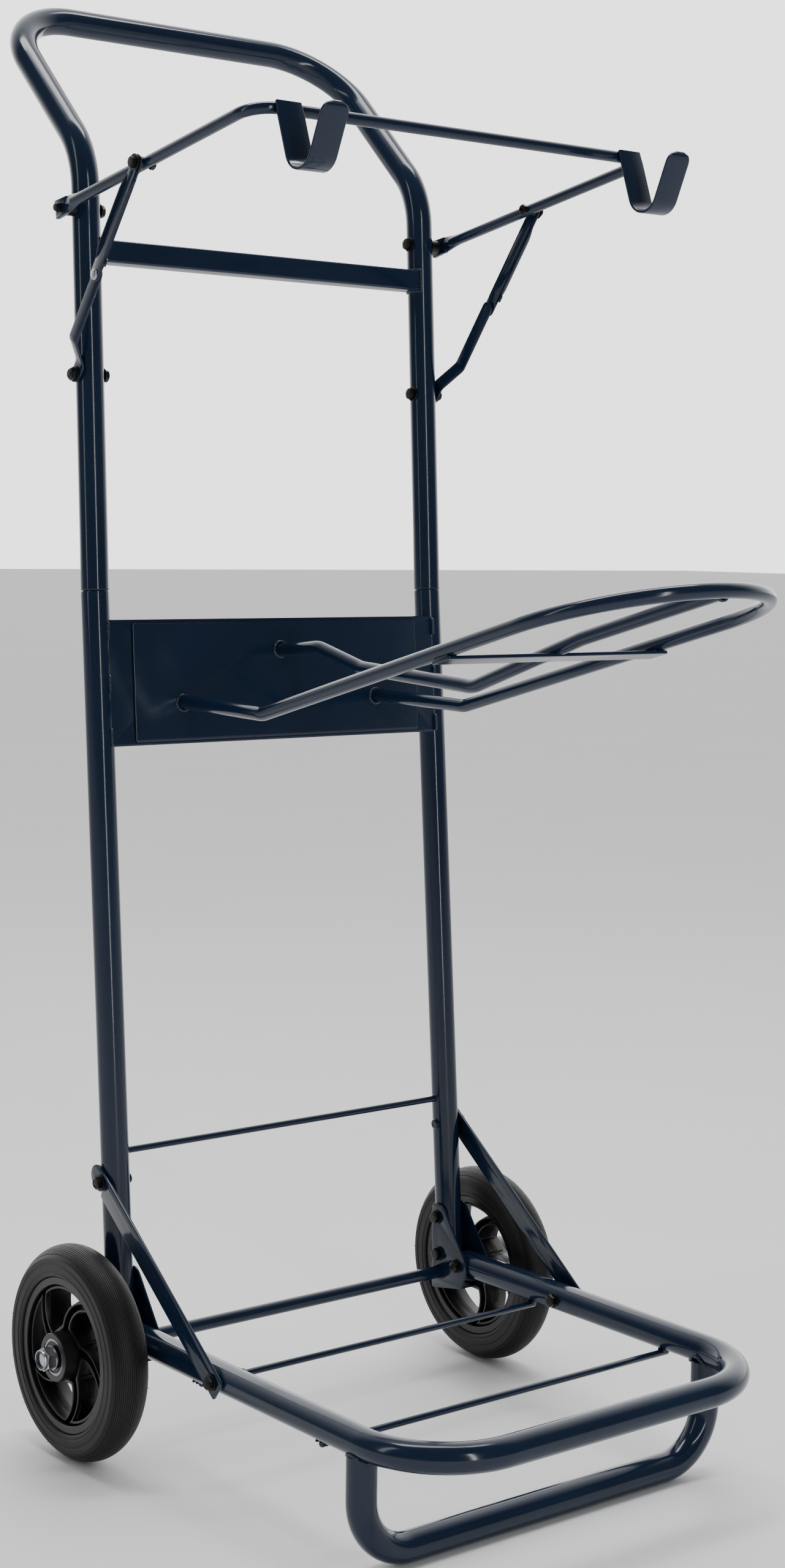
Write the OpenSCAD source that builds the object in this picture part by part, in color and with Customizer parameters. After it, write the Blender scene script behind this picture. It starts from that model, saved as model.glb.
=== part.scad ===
// Folding saddle cart: a two-wheeled tube cart with a plug-in handle frame,
// a fold-down bridle bar with two hooks, a lift-off saddle rack and a
// fold-up base. Units are millimetres. X is right, -Y is the loading side,
// Z is up, the floor is z = 0 and the axle line is y = 0.

/* [Tubes] */
// outside diameter of the frame tubes
tube_d = 25; // [20:0.5:32]
// wall thickness of the frame tubes
tube_wall = 1.5; // [1:0.1:3]
// distance between the two upright axes
upright_gap = 377; // [300:1:450]
// backward lean of the lower uprights, degrees
lean_low = 4.5; // [0:0.1:8]
// backward lean of the plug-in upper frame, degrees
lean_up = 3.3; // [0:0.1:8]
// height of the plug joint above the floor
joint_z = 758.5; // [600:1:900]

/* [Handle] */
// height of the upper bend, measured along the upper frame
bend_up = 386; // [300:1:450]
// length of the raked handle legs
leg_len = 209; // [120:1:260]
// backward rake of the handle legs from the upright axis, degrees
leg_rake = 42.8; // [20:0.1:60]
// bend radius where the handle legs leave the uprights
knee_r = 80; // [40:1:120]
// bend radius of the two handle corners
corner_r = 75; // [40:1:120]
// outside size of the square cross bar
bar_sq = 20; // [15:1:30]
// cross bar height, measured along the upper frame
bar_up = 300; // [200:1:360]

/* [Wheels] */
// tyre outside diameter
wheel_d = 188; // [150:1:250]
// tyre width
tyre_w = 37; // [25:1:50]
// distance from the centre plane to each wheel's middle plane
wheel_x = 231.2; // [215:0.1:260]
// axle diameter
axle_d = 12; // [8:0.5:16]
// number of hub spokes
spokes = 5; // [4:1:8]

/* [Base] */
// length from the axle line to the front tube's axis
base_len = 434; // [300:1:500]
// height of the base tubes' axis above the floor
base_z = 106.5; // [80:0.5:140]
// distance from the axle line to the base's hinge line
hinge_y = 29; // [25:0.5:45]
// bend radius of the two front corners
base_r = 80; // [40:1:120]
// distance from the axle line to the stand
stand_y = 352; // [250:1:400]
// bend radius of the stand's corners
stand_r = 48; // [30:1:80]
// diameter of the thin cross rods
rod_d = 6; // [4:0.5:10]
// distances from the axle line to the two thin base rods
rod_y1 = 126.5; // [80:0.5:200]
// distance from the axle line to the front thin rod
rod_y2 = 302; // [220:0.5:340]

/* [Links] */
// distance from the axle line to the links' lower bolts
link_y = 166.5; // [120:0.5:220]
// height of the studs the links hook on
stud_z = 238; // [180:0.5:300]
// width of the flat links
link_w = 20; // [14:0.5:30]
// thickness of the flat links
link_t = 2.5; // [2:0.1:5]
// link rotation for each degree of base rotation
link_ratio = 1.59; // [1.2:0.01:1.8]

/* [Bridle bar] */
// bar diameter
bridle_d = 10; // [8:0.5:14]
// distance from the centre plane to each arm
bridle_x = 212.8; // [206:0.1:225]
// height of the arms' hinge line
bridle_z = 1093.5; // [1000:0.5:1150]
// length from the hinge line to the front bar
bridle_len = 297.6; // [200:0.1:350]
// upward slope of the arms, degrees
bridle_rise = 10.5; // [0:0.1:20]
// bend radius of the bar's corners
bridle_r = 24; // [15:1:50]
// width of the hook strips
hook_w = 26.5; // [15:0.5:40]
// thickness of the hook strips
hook_t = 2.5; // [1.5:0.1:4]
// distance from the centre plane to each hook's middle
hook_x = 185; // [100:0.5:195]

/* [Stays] */
// distance from the hinge line to the stay bolt on the arm
stay_arm = 136; // [100:0.5:180]
// height of the stays' lower bolts
stay_z = 948.5; // [900:0.5:1000]
// width of the stay strips
stay_w = 14; // [10:0.5:20]
// length of the lower stay strip between its centres
stay_low = 101.5; // [80:0.5:130]

/* [Saddle rack] */
// rack bar diameter
rack_d = 12.4; // [10:0.1:16]
// distance from the centre plane to each side bar
rack_x = 113; // [80:0.5:150]
// upward slope of the rack, degrees
rack_rise = 15; // [0:0.1:30]
// distance from the axle line to the rack's elbows
elbow_y = 101; // [60:0.5:150]
// height of the rack's elbows
elbow_z = 656.2; // [600:0.1:720]
// straight length of the side bars beyond the elbows
rack_side = 343.5; // [250:0.5:420]
// width of the rack's mounting plate
plate_w = 320; // [250:1:350]
// height of the rack's mounting plate
plate_h = 106; // [80:1:140]

/* [Hidden] */
$fn = 64;
r = tube_d / 2;
ri = r - tube_wall;
hx = upright_gap / 2;
wr = wheel_d / 2;
ax_r = axle_d / 2;
pin = 3;
pin_fit = 0.08;
low_y0 = -2;
function low_y(z) = low_y0 + (z - wr) * tan(lean_low);
joint_y = low_y(joint_z);
function up_y(z) = joint_y + (z - joint_z) * tan(lean_up);
joint_up = (joint_z - wr) / cos(lean_low);
plate_top = 640.2;
back_h = 112.5;
plate_face = 11.4;
plate_t = 3;
front_face = plate_face + 0.4 + plate_t;
hinge = [-hinge_y, base_z];
link_bolt = [-link_y, base_z];
stud = [low_y(stud_z), stud_z];
bridle = [up_y(bridle_z), bridle_z];
stay_foot = [up_y(stay_z), stay_z];
stay_top = bridle + stay_arm * [-cos(bridle_rise), sin(bridle_rise)];
stay_dir = (stay_top - stay_foot) / norm(stay_top - stay_foot);
stay_knee = stay_foot + stay_low * stay_dir;
stay_up = norm(stay_top - stay_knee);
front_bar = bridle + bridle_len * [-cos(bridle_rise), sin(bridle_rise)];

centre_y = 156.27;

function unit(v) = v / norm(v);

// Turns Z onto the direction d.
module aim(d) rotate([0, acos(d[2] / norm(d)), atan2(d[1], d[0])]) children();

// Turns the X and Z axes onto two directions at right angles.
module turn(ex, ez) {
  ey = cross(ez, ex);
  if (abs(ex[2]) > 0.9999)
    rotate([atan2(-ez[1], ey[1]), ex[2] > 0 ? -90 : 90, 0]) children();
  else
    rotate([atan2(ey[2], ez[2]), -asin(ex[2]), atan2(ex[1], ex[0])]) children();
}

function arm_len(p, i, rr) = i <= 0 || i >= len(p) - 1 ? 0
  : rr[i] * tan((180 - acos(unit(p[i-1] - p[i]) * unit(p[i+1] - p[i]))) / 2);

// A round bar that follows the points p, with the bend radius rr[i] at p[i].
// Each straight piece runs 1 mm into its bends, which are 0.05 mm fatter.
module bar(p, rr, rad) {
  for (i = [0 : len(p) - 2]) {
    d = unit(p[i+1] - p[i]);
    a = p[i] + d * (arm_len(p, i, rr) - (i > 0 ? 1 : 0));
    b = p[i+1] - d * (arm_len(p, i + 1, rr) - (i < len(p) - 2 ? 1 : 0));
    translate(a) aim(d) cylinder(r = rad, h = norm(b - a));
  }
  for (i = [1 : len(p) - 2]) {
    u = unit(p[i-1] - p[i]);
    v = unit(p[i+1] - p[i]);
    t = 180 - acos(u * v);
    c = p[i] + unit(u + v) * rr[i] / cos(t / 2);
    ex = unit(p[i] + u * arm_len(p, i, rr) - c);
    translate(c) turn(ex, unit(cross(ex, p[i] + v * arm_len(p, i, rr) - c)))
      rotate_extrude(angle = t, $fn = 96) translate([rr[i], 0]) circle(r = rad + 0.05, $fn = 40);
  }
}

module in_low() translate([0, low_y0, wr]) rotate([-lean_low, 0, 0]) children();
module in_up() translate([0, joint_y, joint_z]) rotate([-lean_up, 0, 0]) children();

// A cylinder along X at the point yz, from x0 to x1.
module xpin(yz, x0, x1, rad, fn = 40)
  translate([x0, yz[0], yz[1]]) rotate([0, 90, 0]) cylinder(r = rad, h = x1 - x0, $fn = fn);

// The outline s in the Y-Z plane, made solid from x0 to x1.
module side(x0, x1) translate([x0, 0, 0]) rotate([90, 0, 90]) linear_extrude(x1 - x0) children();

// Moves the cart so that its footprint's middle is the origin.
module place() translate([0, centre_y, 0]) children();
module both() { children(); mirror([1, 0, 0]) children(); }

// A bolt along X: inner nut and washer at x0, outer washer and nut at x1.
module bolt(yz, x0, x1, rad = pin, wash = 7, nut = 5.8) {
  xpin(yz, x0 - 5.5, x1 + 5.5, rad);
  xpin(yz, x0 - 1, x0, wash);
  xpin(yz, x1, x1 + 1, wash);
  xpin(yz, x0 - 5, x0 - 1, nut, 6);
  xpin(yz, x1 + 1, x1 + 5, nut, 6);
}

/* ---- main frame ---- */

module upright_blank() in_low() translate([hx, 0, -9]) cylinder(r = r, h = joint_up + 9);

module upright() {
  difference() {
    in_low() translate([hx, 0, -9]) difference() {
      cylinder(r = r, h = joint_up + 9);
      translate([0, 0, -1]) cylinder(r = ri, h = joint_up + 11);
    }
    xpin([0, wr], hx - 20, hx + 20, ax_r);
    xpin([low_y(148), 148], hx - 20, hx + 20, pin);
    xpin([low_y(112), 112], hx - 20, hx + 20, pin);
    xpin(stud, hx - 20, hx + 20, pin);
  }
}

module upright_right() color("midnightblue") place() upright();
module upright_left() color("midnightblue") place() mirror([1, 0, 0]) upright();

module lower_rod() color("midnightblue") place() difference() {
  in_low() translate([-hx, 0, 169.2]) rotate([0, 90, 0]) cylinder(r = rod_d / 2, h = 2 * hx);
  both() upright_blank();
}

module back_plate() color("midnightblue") place() difference() {
  in_low() difference() {
    union() {
      translate([-hx + 5, -plate_face, plate_top - back_h]) cube([2 * hx - 10, plate_t, back_h]);
      for (z = [plate_top - 1.5, plate_top - back_h])
        translate([-hx + 14, -plate_face + 1.5, z]) cube([2 * hx - 28, 9, 1.5]);
    }
    for (s = [-1, 1]) translate([s * 90 - 16, -plate_face - 1, plate_top - 62.4]) cube([32, 8, 24]);
  }
  both() upright_blank();
}

module upper_path(rad) in_up()
  bar([[-hx, 0, -3], [-hx, 0, bend_up],
       [-hx, leg_len * sin(leg_rake), bend_up + leg_len * cos(leg_rake)],
       [hx, leg_len * sin(leg_rake), bend_up + leg_len * cos(leg_rake)],
       [hx, 0, bend_up], [hx, 0, -3]],
      [0, knee_r, corner_r, corner_r, knee_r, 0], rad);

module upper_frame() color("midnightblue") place() {
  difference() {
    upper_path(r);
    upper_path(ri);
    both() in_low() translate([hx - 30, -30, joint_up - 60]) cube([60, 60, 60]);
    both() xpin(bridle, hx - 20, hx + 20, pin);
    both() xpin(stay_foot, hx - 20, hx + 20, pin);
  }
  both() in_low() translate([hx, 0, joint_up - 40]) difference() {
    cylinder(r = ri - 0.05, h = 43);
    translate([0, 0, -1]) cylinder(r = ri - 1.55, h = 45);
  }
}

module cross_bar() color("midnightblue") place() difference() {
  in_up() translate([-hx, -bar_sq / 2, bar_up - bar_sq / 2]) difference() {
    cube([2 * hx, bar_sq, bar_sq]);
    translate([-1, tube_wall, tube_wall])
      cube([2 * hx + 2, bar_sq - 2 * tube_wall, bar_sq - 2 * tube_wall]);
  }
  both() in_up() translate([hx, 0, bar_up - 40]) cylinder(r = r, h = 80);
}

module bracket() {
  shape = [[10, 158], [7, 161], [-3, 161], [-8, 157], [-42, 111], [-43, 104], [-41, 97],
           [-37, 88], [-36, 85], [8, 77], [9, 84]];
  difference() {
    union() {
      side(hx - 14.9, hx - 12.9) polygon(shape);
      side(hx + 12.9, hx + 14.9) polygon(shape);
      side(hx - 14.9, hx + 14.9) polygon([[8, 77], [-36, 85], [-36.3, 87], [8.2, 79]]);
    }
    xpin([0, wr], hx - 20, hx + 20, ax_r);
    xpin([low_y(148), 148], hx - 20, hx + 20, pin);
    xpin([low_y(112), 112], hx - 20, hx + 20, pin);
    xpin(hinge, hx - 20, hx + 20, pin);
  }
}

module bracket_right() color("midnightblue") place() bracket();
module bracket_left() color("midnightblue") place() mirror([1, 0, 0]) bracket();

module bracket_bolts() {
  bolt([low_y(148), 148], hx - 14.9, hx + 14.9);
  bolt([low_y(112), 112], hx - 14.9, hx + 14.9);
}

module bracket_bolts_right() color("black") place() bracket_bolts();
module bracket_bolts_left() color("black") place() mirror([1, 0, 0]) bracket_bolts();
module hinge_bolts() color("black") place() both() bolt(hinge, hx - 14.9, hx + 14.9);
module bridle_bolts() color("black") place() both() bolt(bridle, hx - r, bridle_x + 2.5);
module stay_foot_bolts() color("black") place() both() bolt(stay_foot, hx - r, hx + r + 3);

module bridle_spacers() color("black") place() both() difference() {
  xpin(bridle, hx + r - 0.4, bridle_x - 2.4, 6.5);
  xpin(bridle, hx, bridle_x, pin);
  in_up() translate([hx, 0, 200]) cylinder(r = r, h = 200);
}

module link_studs() color("black") place() both() {
  xpin(stud, hx - r - 2, hx + r + link_t + 6.5, pin);
  xpin(stud, hx - r - 2.5, hx - r, 5);
  xpin(stud, hx + r + link_t + 1.1, hx + r + link_t + 2.1, 7.5);
  xpin(stud, hx + r + link_t + 2.1, hx + r + link_t + 6, 5.8, 6);
}

axle_end = wheel_x + 37;
module axle() color("silver") place() {
  xpin([0, wr], -axle_end, axle_end, ax_r);
  both() xpin([0, wr], hx + 14.9, wheel_x - 18.1, 9);
}

module axle_nuts() color("silver") place() both() difference() {
  union() {
    xpin([0, wr], wheel_x + 26.2, wheel_x + 27.7, 10.5);
    xpin([0, wr], wheel_x + 27.7, wheel_x + 35.7, 10.9, 6);
    xpin([0, wr], wheel_x + 35.7, wheel_x + 38.7, 8.6);
  }
  xpin([0, wr], wheel_x + 20, wheel_x + 42, ax_r);
}

/* ---- wheels ---- */

seat_r = 68;
module spin() translate([wheel_x, 0, wr]) rotate([0, 90, 0]) children();

module tyre() spin() rotate_extrude($fn = 120) difference() {
  intersection() {
    translate([wr - 22, 0]) circle(r = 22, $fn = 72);
    translate([seat_r, -tyre_w / 2]) square([40, tyre_w]);
  }
  for (a = [-38, -25, 25, 38]) translate([wr - 22 + 22.3 * cos(a), 22.3 * sin(a)]) circle(r = 0.9);
  for (s = [-1, 1]) translate([seat_r + 3, s * (tyre_w / 2 + 0.3)]) circle(r = 1.1);
}

// One hub window, drawn m further in from its edges on every side.
function swirl(rad) = 34 * pow((rad - 22) / 38, 1.4);
module window(m) {
  n = 10;
  half = 360 / spokes / 2;
  ra = 26 + m;
  rb = 57 - m;
  function ang(rad, s, edge) = swirl(rad) + s * (half - (edge + m) / rad * 57.3);
  polygon(concat(
    [for (i = [0 : n]) let (q = ra + (rb - ra) * i / n, a = ang(q, -1, 6)) q * [cos(a), sin(a)]],
    [for (i = [1 : n - 1]) let (a0 = ang(rb, -1, 6), a1 = ang(rb, 1, 6), a = a0 + (a1 - a0) * i / n)
      rb * [cos(a), sin(a)]],
    [for (i = [n : -1 : 0]) let (q = ra + (rb - ra) * i / n, a = ang(q, 1, 6)) q * [cos(a), sin(a)]]));
}

module hub() spin() difference() {
  union() {
    difference() {
      translate([0, 0, -16]) cylinder(r = seat_r, h = 32, $fn = 120);
      translate([0, 0, -17]) cylinder(r = 61, h = 34, $fn = 120);
    }
    translate([0, 0, -4]) linear_extrude(8) difference() {
      circle(r = 61.5, $fn = 96);
      for (i = [0 : spokes - 1]) rotate(i * 360 / spokes) window(0);
    }
    translate([0, 0, -13]) linear_extrude(26)
      for (i = [0 : spokes - 1]) rotate(i * 360 / spokes) difference() {
        window(-2.6);
        window(0);
      }
    translate([0, 0, -17.7]) cylinder(r = 21, h = 43.5);
  }
  translate([0, 0, -18.7]) cylinder(r = 16, h = 12);
  translate([0, 0, 14.8]) cylinder(r = 16, h = 12);
  translate([0, 0, -20]) cylinder(r = 9, h = 50);
}

module bearings() spin() for (z = [-17.2, 14.8]) translate([0, 0, z]) difference() {
  cylinder(r = 16, h = 10.5);
  translate([0, 0, -1]) cylinder(r = ax_r + pin_fit, h = 13);
  for (q = [-1, 9.9]) translate([0, 0, q]) difference() {
    cylinder(r = 13.6, h = 1.6);
    translate([0, 0, -1]) cylinder(r = 8.6, h = 4);
  }
}

module tyre_right() color("black") place() tyre();
module tyre_left() color("black") place() mirror([1, 0, 0]) tyre();
module hub_right() color("dimgray") place() hub();
module hub_left() color("dimgray") place() mirror([1, 0, 0]) hub();
module bearings_right() color("silver") place() bearings();
module bearings_left() color("silver") place() mirror([1, 0, 0]) bearings();

/* ---- base ---- */

module base_path(rad, tail) bar([[-hx, tail, base_z], [-hx, -base_len, base_z],
  [hx, -base_len, base_z], [hx, tail, base_z]], [0, base_r, base_r, 0], rad);

tip_y = hinge_y + 18;
module base_tube() color("midnightblue") place() difference() {
  base_path(r, -tip_y);
  base_path(ri, -tip_y + 5);
  both() xpin(link_bolt, hx - 20, hx + 20, pin);
}

module base_tips() color("midnightblue") place() both() difference() {
  intersection() {
    translate([hx, -tip_y, base_z]) rotate([-90, 0, 0]) cylinder(r = r, h = 40);
    union() {
      xpin(hinge, hx - 20, hx + 20, r);
      translate([hx - 20, -tip_y - 1, base_z - 20]) cube([40, 19, 40]);
    }
  }
  xpin(hinge, hx - 20, hx + 20, pin + pin_fit);
}

module cross_rod(y, half) difference() {
  xpin([-y, base_z - r - rod_d / 2 + 0.3], -half, half, rod_d / 2);
  both() translate([hx, 0, base_z]) rotate([90, 0, 0]) cylinder(r = r, h = 400);
}
module rod_rear() color("midnightblue") place() cross_rod(rod_y1, hx + 1);
module rod_front() color("midnightblue") place() cross_rod(rod_y2, hx + 4);

module stand_path(rad, top) bar([[-hx, -stand_y, top], [-hx, -stand_y, r], [hx, -stand_y, r],
  [hx, -stand_y, top]], [0, stand_r, stand_r, 0], rad);
module stand() color("midnightblue") place() difference() {
  stand_path(r, base_z);
  stand_path(ri, base_z - r - 2);
  base_path(r, -hinge_y - 100);
}

module link_bolts() color("black") place() both() bolt(link_bolt, hx - r, hx + r + link_t + 1.1);

link_vec = stud - link_bolt;
link_len = norm(link_vec);
link_ang = atan2(link_vec[1], link_vec[0]);
head_off = stud - hinge;
slip = [head_off[1], -head_off[0]] + link_ratio * [-link_vec[1], link_vec[0]];
slot_ang = atan2(-slip[1], -slip[0]) - link_ang;

module link_shape() difference() {
  union() {
    circle(r = 11.5);
    translate([0, -link_w / 2]) square([link_len + 8, link_w]);
    translate([link_len + 8, 0]) circle(r = link_w / 2);
  }
  circle(r = pin + pin_fit);
  translate([link_len, 0]) {
    circle(r = pin + 0.6);
    rotate(slot_ang) translate([0, -pin - 0.45]) square([40, 2 * pin + 0.9]);
  }
}

module link() side(hx + r + 0.5, hx + r + 0.5 + link_t)
  translate(link_bolt) rotate(link_ang) link_shape();
module link_right() color("midnightblue") place() link();
module link_left() color("midnightblue") place() mirror([1, 0, 0]) link();

/* ---- bridle bar ---- */

module bridle_bar() color("midnightblue") place() difference() {
  union() {
    bar([concat([-bridle_x], bridle + 11 * (front_bar - bridle) / bridle_len),
         concat([-bridle_x], front_bar), concat([bridle_x], front_bar),
         concat([bridle_x], bridle + 11 * (front_bar - bridle) / bridle_len)],
        [0, bridle_r, bridle_r, 0], bridle_d / 2);
    both() {
      side(bridle_x - 2, bridle_x + 2) translate(bridle) rotate(180 - bridle_rise) {
        circle(r = 8);
        polygon([[0, -7.8], [18, -7.8], [32, -3], [32, 3], [18, 7.8], [0, 7.8]]);
      }
    }
  }
  both() xpin(bridle, bridle_x - 10, bridle_x + 10, pin + pin_fit);
  both() xpin(stay_top, bridle_x - 10, bridle_x + 10, 2.5);
}

module stay_top_bolts() color("black") place() both() {
  xpin(stay_top, bridle_x - 9.5, bridle_x + 14.5, 2.5);
  xpin(stay_top, bridle_x - 9, bridle_x - 4.9, 5, 6);
  xpin(stay_top, bridle_x + 10.2, bridle_x + 11.2, 6);
  xpin(stay_top, bridle_x + 11.2, bridle_x + 14.5, 5, 6);
}

hook_top = front_bar + [-bridle_d / 2 - hook_t / 2, 5];
hook_mid = front_bar + [-38, -34.5];
hook_tip = front_bar + [-71, -2];
hook_r = 17;

// Tangent points of the two hook legs on the bottom curve.
function touch(p, s) = let (d = p - hook_mid, a = atan2(d[1], d[0]), b = acos(hook_r / norm(d)))
  hook_mid + hook_r * [cos(a + s * b), sin(a + s * b)];
t1 = touch(hook_top, -1);
t2 = touch(hook_tip, 1);
function band(p, q, w) = let (n = [q[1] - p[1], p[0] - q[0]] / norm(q - p) * w / 2)
  [p + n, q + n, q - n, p - n];

module hook() {
  a1 = atan2(t1[1] - hook_mid[1], t1[0] - hook_mid[0]);
  a2 = atan2(t2[1] - hook_mid[1], t2[0] - hook_mid[0]);
  n = 16;
  arc = (a1 + 360) % 360 - (a2 + 360) % 360;
  difference() {
    side(hook_x - hook_w / 2, hook_x + hook_w / 2) {
      polygon(band(hook_top, t1, hook_t));
      polygon(band(hook_tip, t2, hook_t));
      polygon(concat(
        [for (i = [0 : n]) let (a = a2 + arc * i / n) hook_mid + (hook_r + hook_t / 2) * [cos(a), sin(a)]],
        [for (i = [n : -1 : 0]) let (a = a2 + arc * i / n)
          hook_mid + (hook_r - hook_t / 2) * [cos(a), sin(a)]]));
    }
    for (s = [-1, 1]) translate([hook_x + s * (hook_w / 2 - 9), hook_tip[0], hook_tip[1] - 9])
      rotate([90, 0, 0]) difference() {
        translate([s > 0 ? 0 : -10, 0, -8]) cube([10, 12, 16]);
        translate([0, 0, -9]) cylinder(r = 9, h = 18);
      }
    xpin(front_bar, 0, 300, bridle_d / 2);
  }
}
module hook_right() color("midnightblue") place() hook();
module hook_left() color("midnightblue") place() mirror([1, 0, 0]) hook();

/* ---- folding stays ---- */

stay_ang = atan2(stay_dir[1], stay_dir[0]);
strip_x = bridle_x + 6.9;

module upper_stay() difference() {
  translate([0, stay_knee[0], stay_knee[1]]) rotate([stay_ang, 0, 0]) {
    side(strip_x, strip_x + 1.6) {
      circle(r = stay_w / 2);
      translate([0, -stay_w / 2]) square([stay_up, stay_w]);
      translate([stay_up, 0]) circle(r = stay_w / 2);
      translate([13, stay_w / 2 - 1]) square([8, 4]);
    }
    for (s = [-1, 1]) translate([strip_x, 10, s * (stay_w / 2 - 0.6) - 0.6])
      cube([4.2, stay_up - 22, 1.2]);
  }
  xpin(stay_top, bridle_x, bridle_x + 20, 2.58);
}

module lower_stay() intersection() {
  translate([0, stay_foot[0], stay_foot[1]]) rotate([stay_ang, 0, 0]) {
    difference() {
      translate([0, 0, -stay_w / 2]) linear_extrude(stay_w) polygon([[hx + r + 0.6, -12],
        [hx + r + 2.4, -12], [hx + r + 2.4, 11], [strip_x - 0.6, 34],
        [strip_x - 0.6, stay_low + 12], [strip_x - 2.4, stay_low + 12], [strip_x - 2.4, 35],
        [hx + r + 0.6, 12]]);
      xpin([0, 0], hx, hx + 40, pin + pin_fit);
    }
  }
  translate([0, stay_foot[0], stay_foot[1]]) rotate([stay_ang, 0, 0]) side(hx, hx + 60) {
    circle(r = stay_w / 2);
    translate([0, -stay_w / 2]) square([stay_low, stay_w]);
    translate([stay_low, 0]) circle(r = stay_w / 2);
  }
}

module rivet() xpin(stay_knee, strip_x + 1.6, strip_x + 3, 4);

module upper_stay_right() color("midnightblue") place() upper_stay();
module upper_stay_left() color("midnightblue") place() mirror([1, 0, 0]) upper_stay();
module lower_stay_right() color("midnightblue") place() lower_stay();
module lower_stay_left() color("midnightblue") place() mirror([1, 0, 0]) lower_stay();
module rivet_right() color("silver") place() rivet();
module rivet_left() color("silver") place() mirror([1, 0, 0]) rivet();

/* ---- saddle rack ---- */

module rack_plate() color("midnightblue") place() in_low() {
  translate([-plate_w / 2, -front_face, plate_top - 3.5 - plate_h]) cube([plate_w, plate_t, plate_h]);
  for (s = [-1, 1]) translate([s * 90 - 13, -front_face, plate_top - 62]) {
    translate([0, 1, 0]) cube([26, 8.2, 7]);
    translate([0, 7.2, -9]) cube([26, 2.5, 16]);
  }
}

module before_plate() difference() {
  children();
  in_low() translate([-200, -front_face, 400]) cube([400, 60, 300]);
}

rise = [0, -cos(rack_rise), sin(rack_rise)];
elbow = [rack_x, -elbow_y, elbow_z];
nose = elbow + (rack_side + rack_x) * rise;
rack_root = [rack_x - 4, 33, 659];

module rack_loop() color("midnightblue") place() before_plate()
  bar([[-rack_root[0], rack_root[1], rack_root[2]], [-elbow[0], elbow[1], elbow[2]],
       [-nose[0], nose[1], nose[2]], nose, elbow, rack_root],
      [0, 30, rack_x - 0.05, rack_x - 0.05, 30, 0], rack_d / 2);

module rack_bar_path(rad) bar([[0, 37, 702.5], [0, -28, 708.5], [0, -92, 693], [0, -247, 685],
  [0, -elbow_y, elbow_z] + 291 * rise, [0, nose[1], nose[2]]],
  [0, 30, 40, 40, 60, 0], rad);

module rack_bar() color("midnightblue") place() before_plate() difference() {
  rack_bar_path(rack_d / 2);
  xpin([nose[1], nose[2]], -30, 30, rack_d / 2);
}

module rack_strip() color("midnightblue") place() difference() {
  translate([0, -elbow_y, elbow_z] + 254 * rise) rotate([-rack_rise, 0, 0])
    translate([-rack_x - rack_d / 2, -11, -rack_d / 2 - 2.8])
      cube([2 * rack_x + rack_d, 22, 3]);
  both() translate([rack_x, elbow[1], elbow[2]]) aim(rise) cylinder(r = rack_d / 2, h = 400);
  rack_bar_path(rack_d / 2);
}

upright_left();
upright_right();
lower_rod();
back_plate();
upper_frame();
cross_bar();
bracket_left();
bracket_right();
bracket_bolts_left();
bracket_bolts_right();
hinge_bolts();
bridle_bolts();
stay_foot_bolts();
bridle_spacers();
link_studs();
axle();
axle_nuts();
tyre_left();
hub_left();
bearings_left();
tyre_right();
hub_right();
bearings_right();
base_tube();
base_tips();
rod_rear();
rod_front();
stand();
link_bolts();
link_left();
link_right();
bridle_bar();
stay_top_bolts();
hook_left();
hook_right();
upper_stay_left();
upper_stay_right();
lower_stay_left();
lower_stay_right();
rivet_left();
rivet_right();
rack_plate();
rack_loop();
rack_bar();
rack_strip();
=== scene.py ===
import math
import random

import bpy
import bmesh
import numpy as np
from mathutils import Matrix, Vector


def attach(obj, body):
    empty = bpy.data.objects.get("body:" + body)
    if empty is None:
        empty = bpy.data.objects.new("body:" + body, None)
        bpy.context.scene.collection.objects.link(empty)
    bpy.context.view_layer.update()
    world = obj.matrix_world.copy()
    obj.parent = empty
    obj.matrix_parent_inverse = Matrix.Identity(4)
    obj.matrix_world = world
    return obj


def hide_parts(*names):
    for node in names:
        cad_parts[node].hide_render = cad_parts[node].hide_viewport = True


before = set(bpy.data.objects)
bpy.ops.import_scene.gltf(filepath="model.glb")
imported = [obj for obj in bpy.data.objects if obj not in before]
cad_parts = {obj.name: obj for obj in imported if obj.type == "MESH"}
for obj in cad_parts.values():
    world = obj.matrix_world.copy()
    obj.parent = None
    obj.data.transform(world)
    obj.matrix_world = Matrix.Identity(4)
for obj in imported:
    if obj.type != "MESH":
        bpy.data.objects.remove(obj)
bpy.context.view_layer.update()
rng = random.Random(4)

# ---------------------------------------------------------------- dimensions
# All lengths are in mm in a frame whose origin lies on the floor under the axle. SY moves it to the CAD's.
# HX: half the width between the tube centres. R, RI: tube radii. WR: wheel radius.
# WX: a wheel's centre. T45, T33: the lean of the lower and the upper uprights.
SY = 156.27
HX, R, RI, WR, WX = 188.5, 12.5, 11.0, 94.0, 231.2
T45, T33 = math.radians(4.5), math.radians(3.3)
JZ = 758.5


def low_y(z):
    return -2 + (z - WR) * math.tan(T45)


JY = low_y(JZ)
JUP = (JZ - WR) / math.cos(T45)


def up_y(z):
    return JY + (z - JZ) * math.tan(T33)


def in_low(x, y, z):
    return (x, -2 + y * math.cos(T45) + z * math.sin(T45), WR - y * math.sin(T45) + z * math.cos(T45))


def in_up(x, y, z):
    return (x, JY + y * math.cos(T33) + z * math.sin(T33), JZ - y * math.sin(T33) + z * math.cos(T33))


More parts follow.
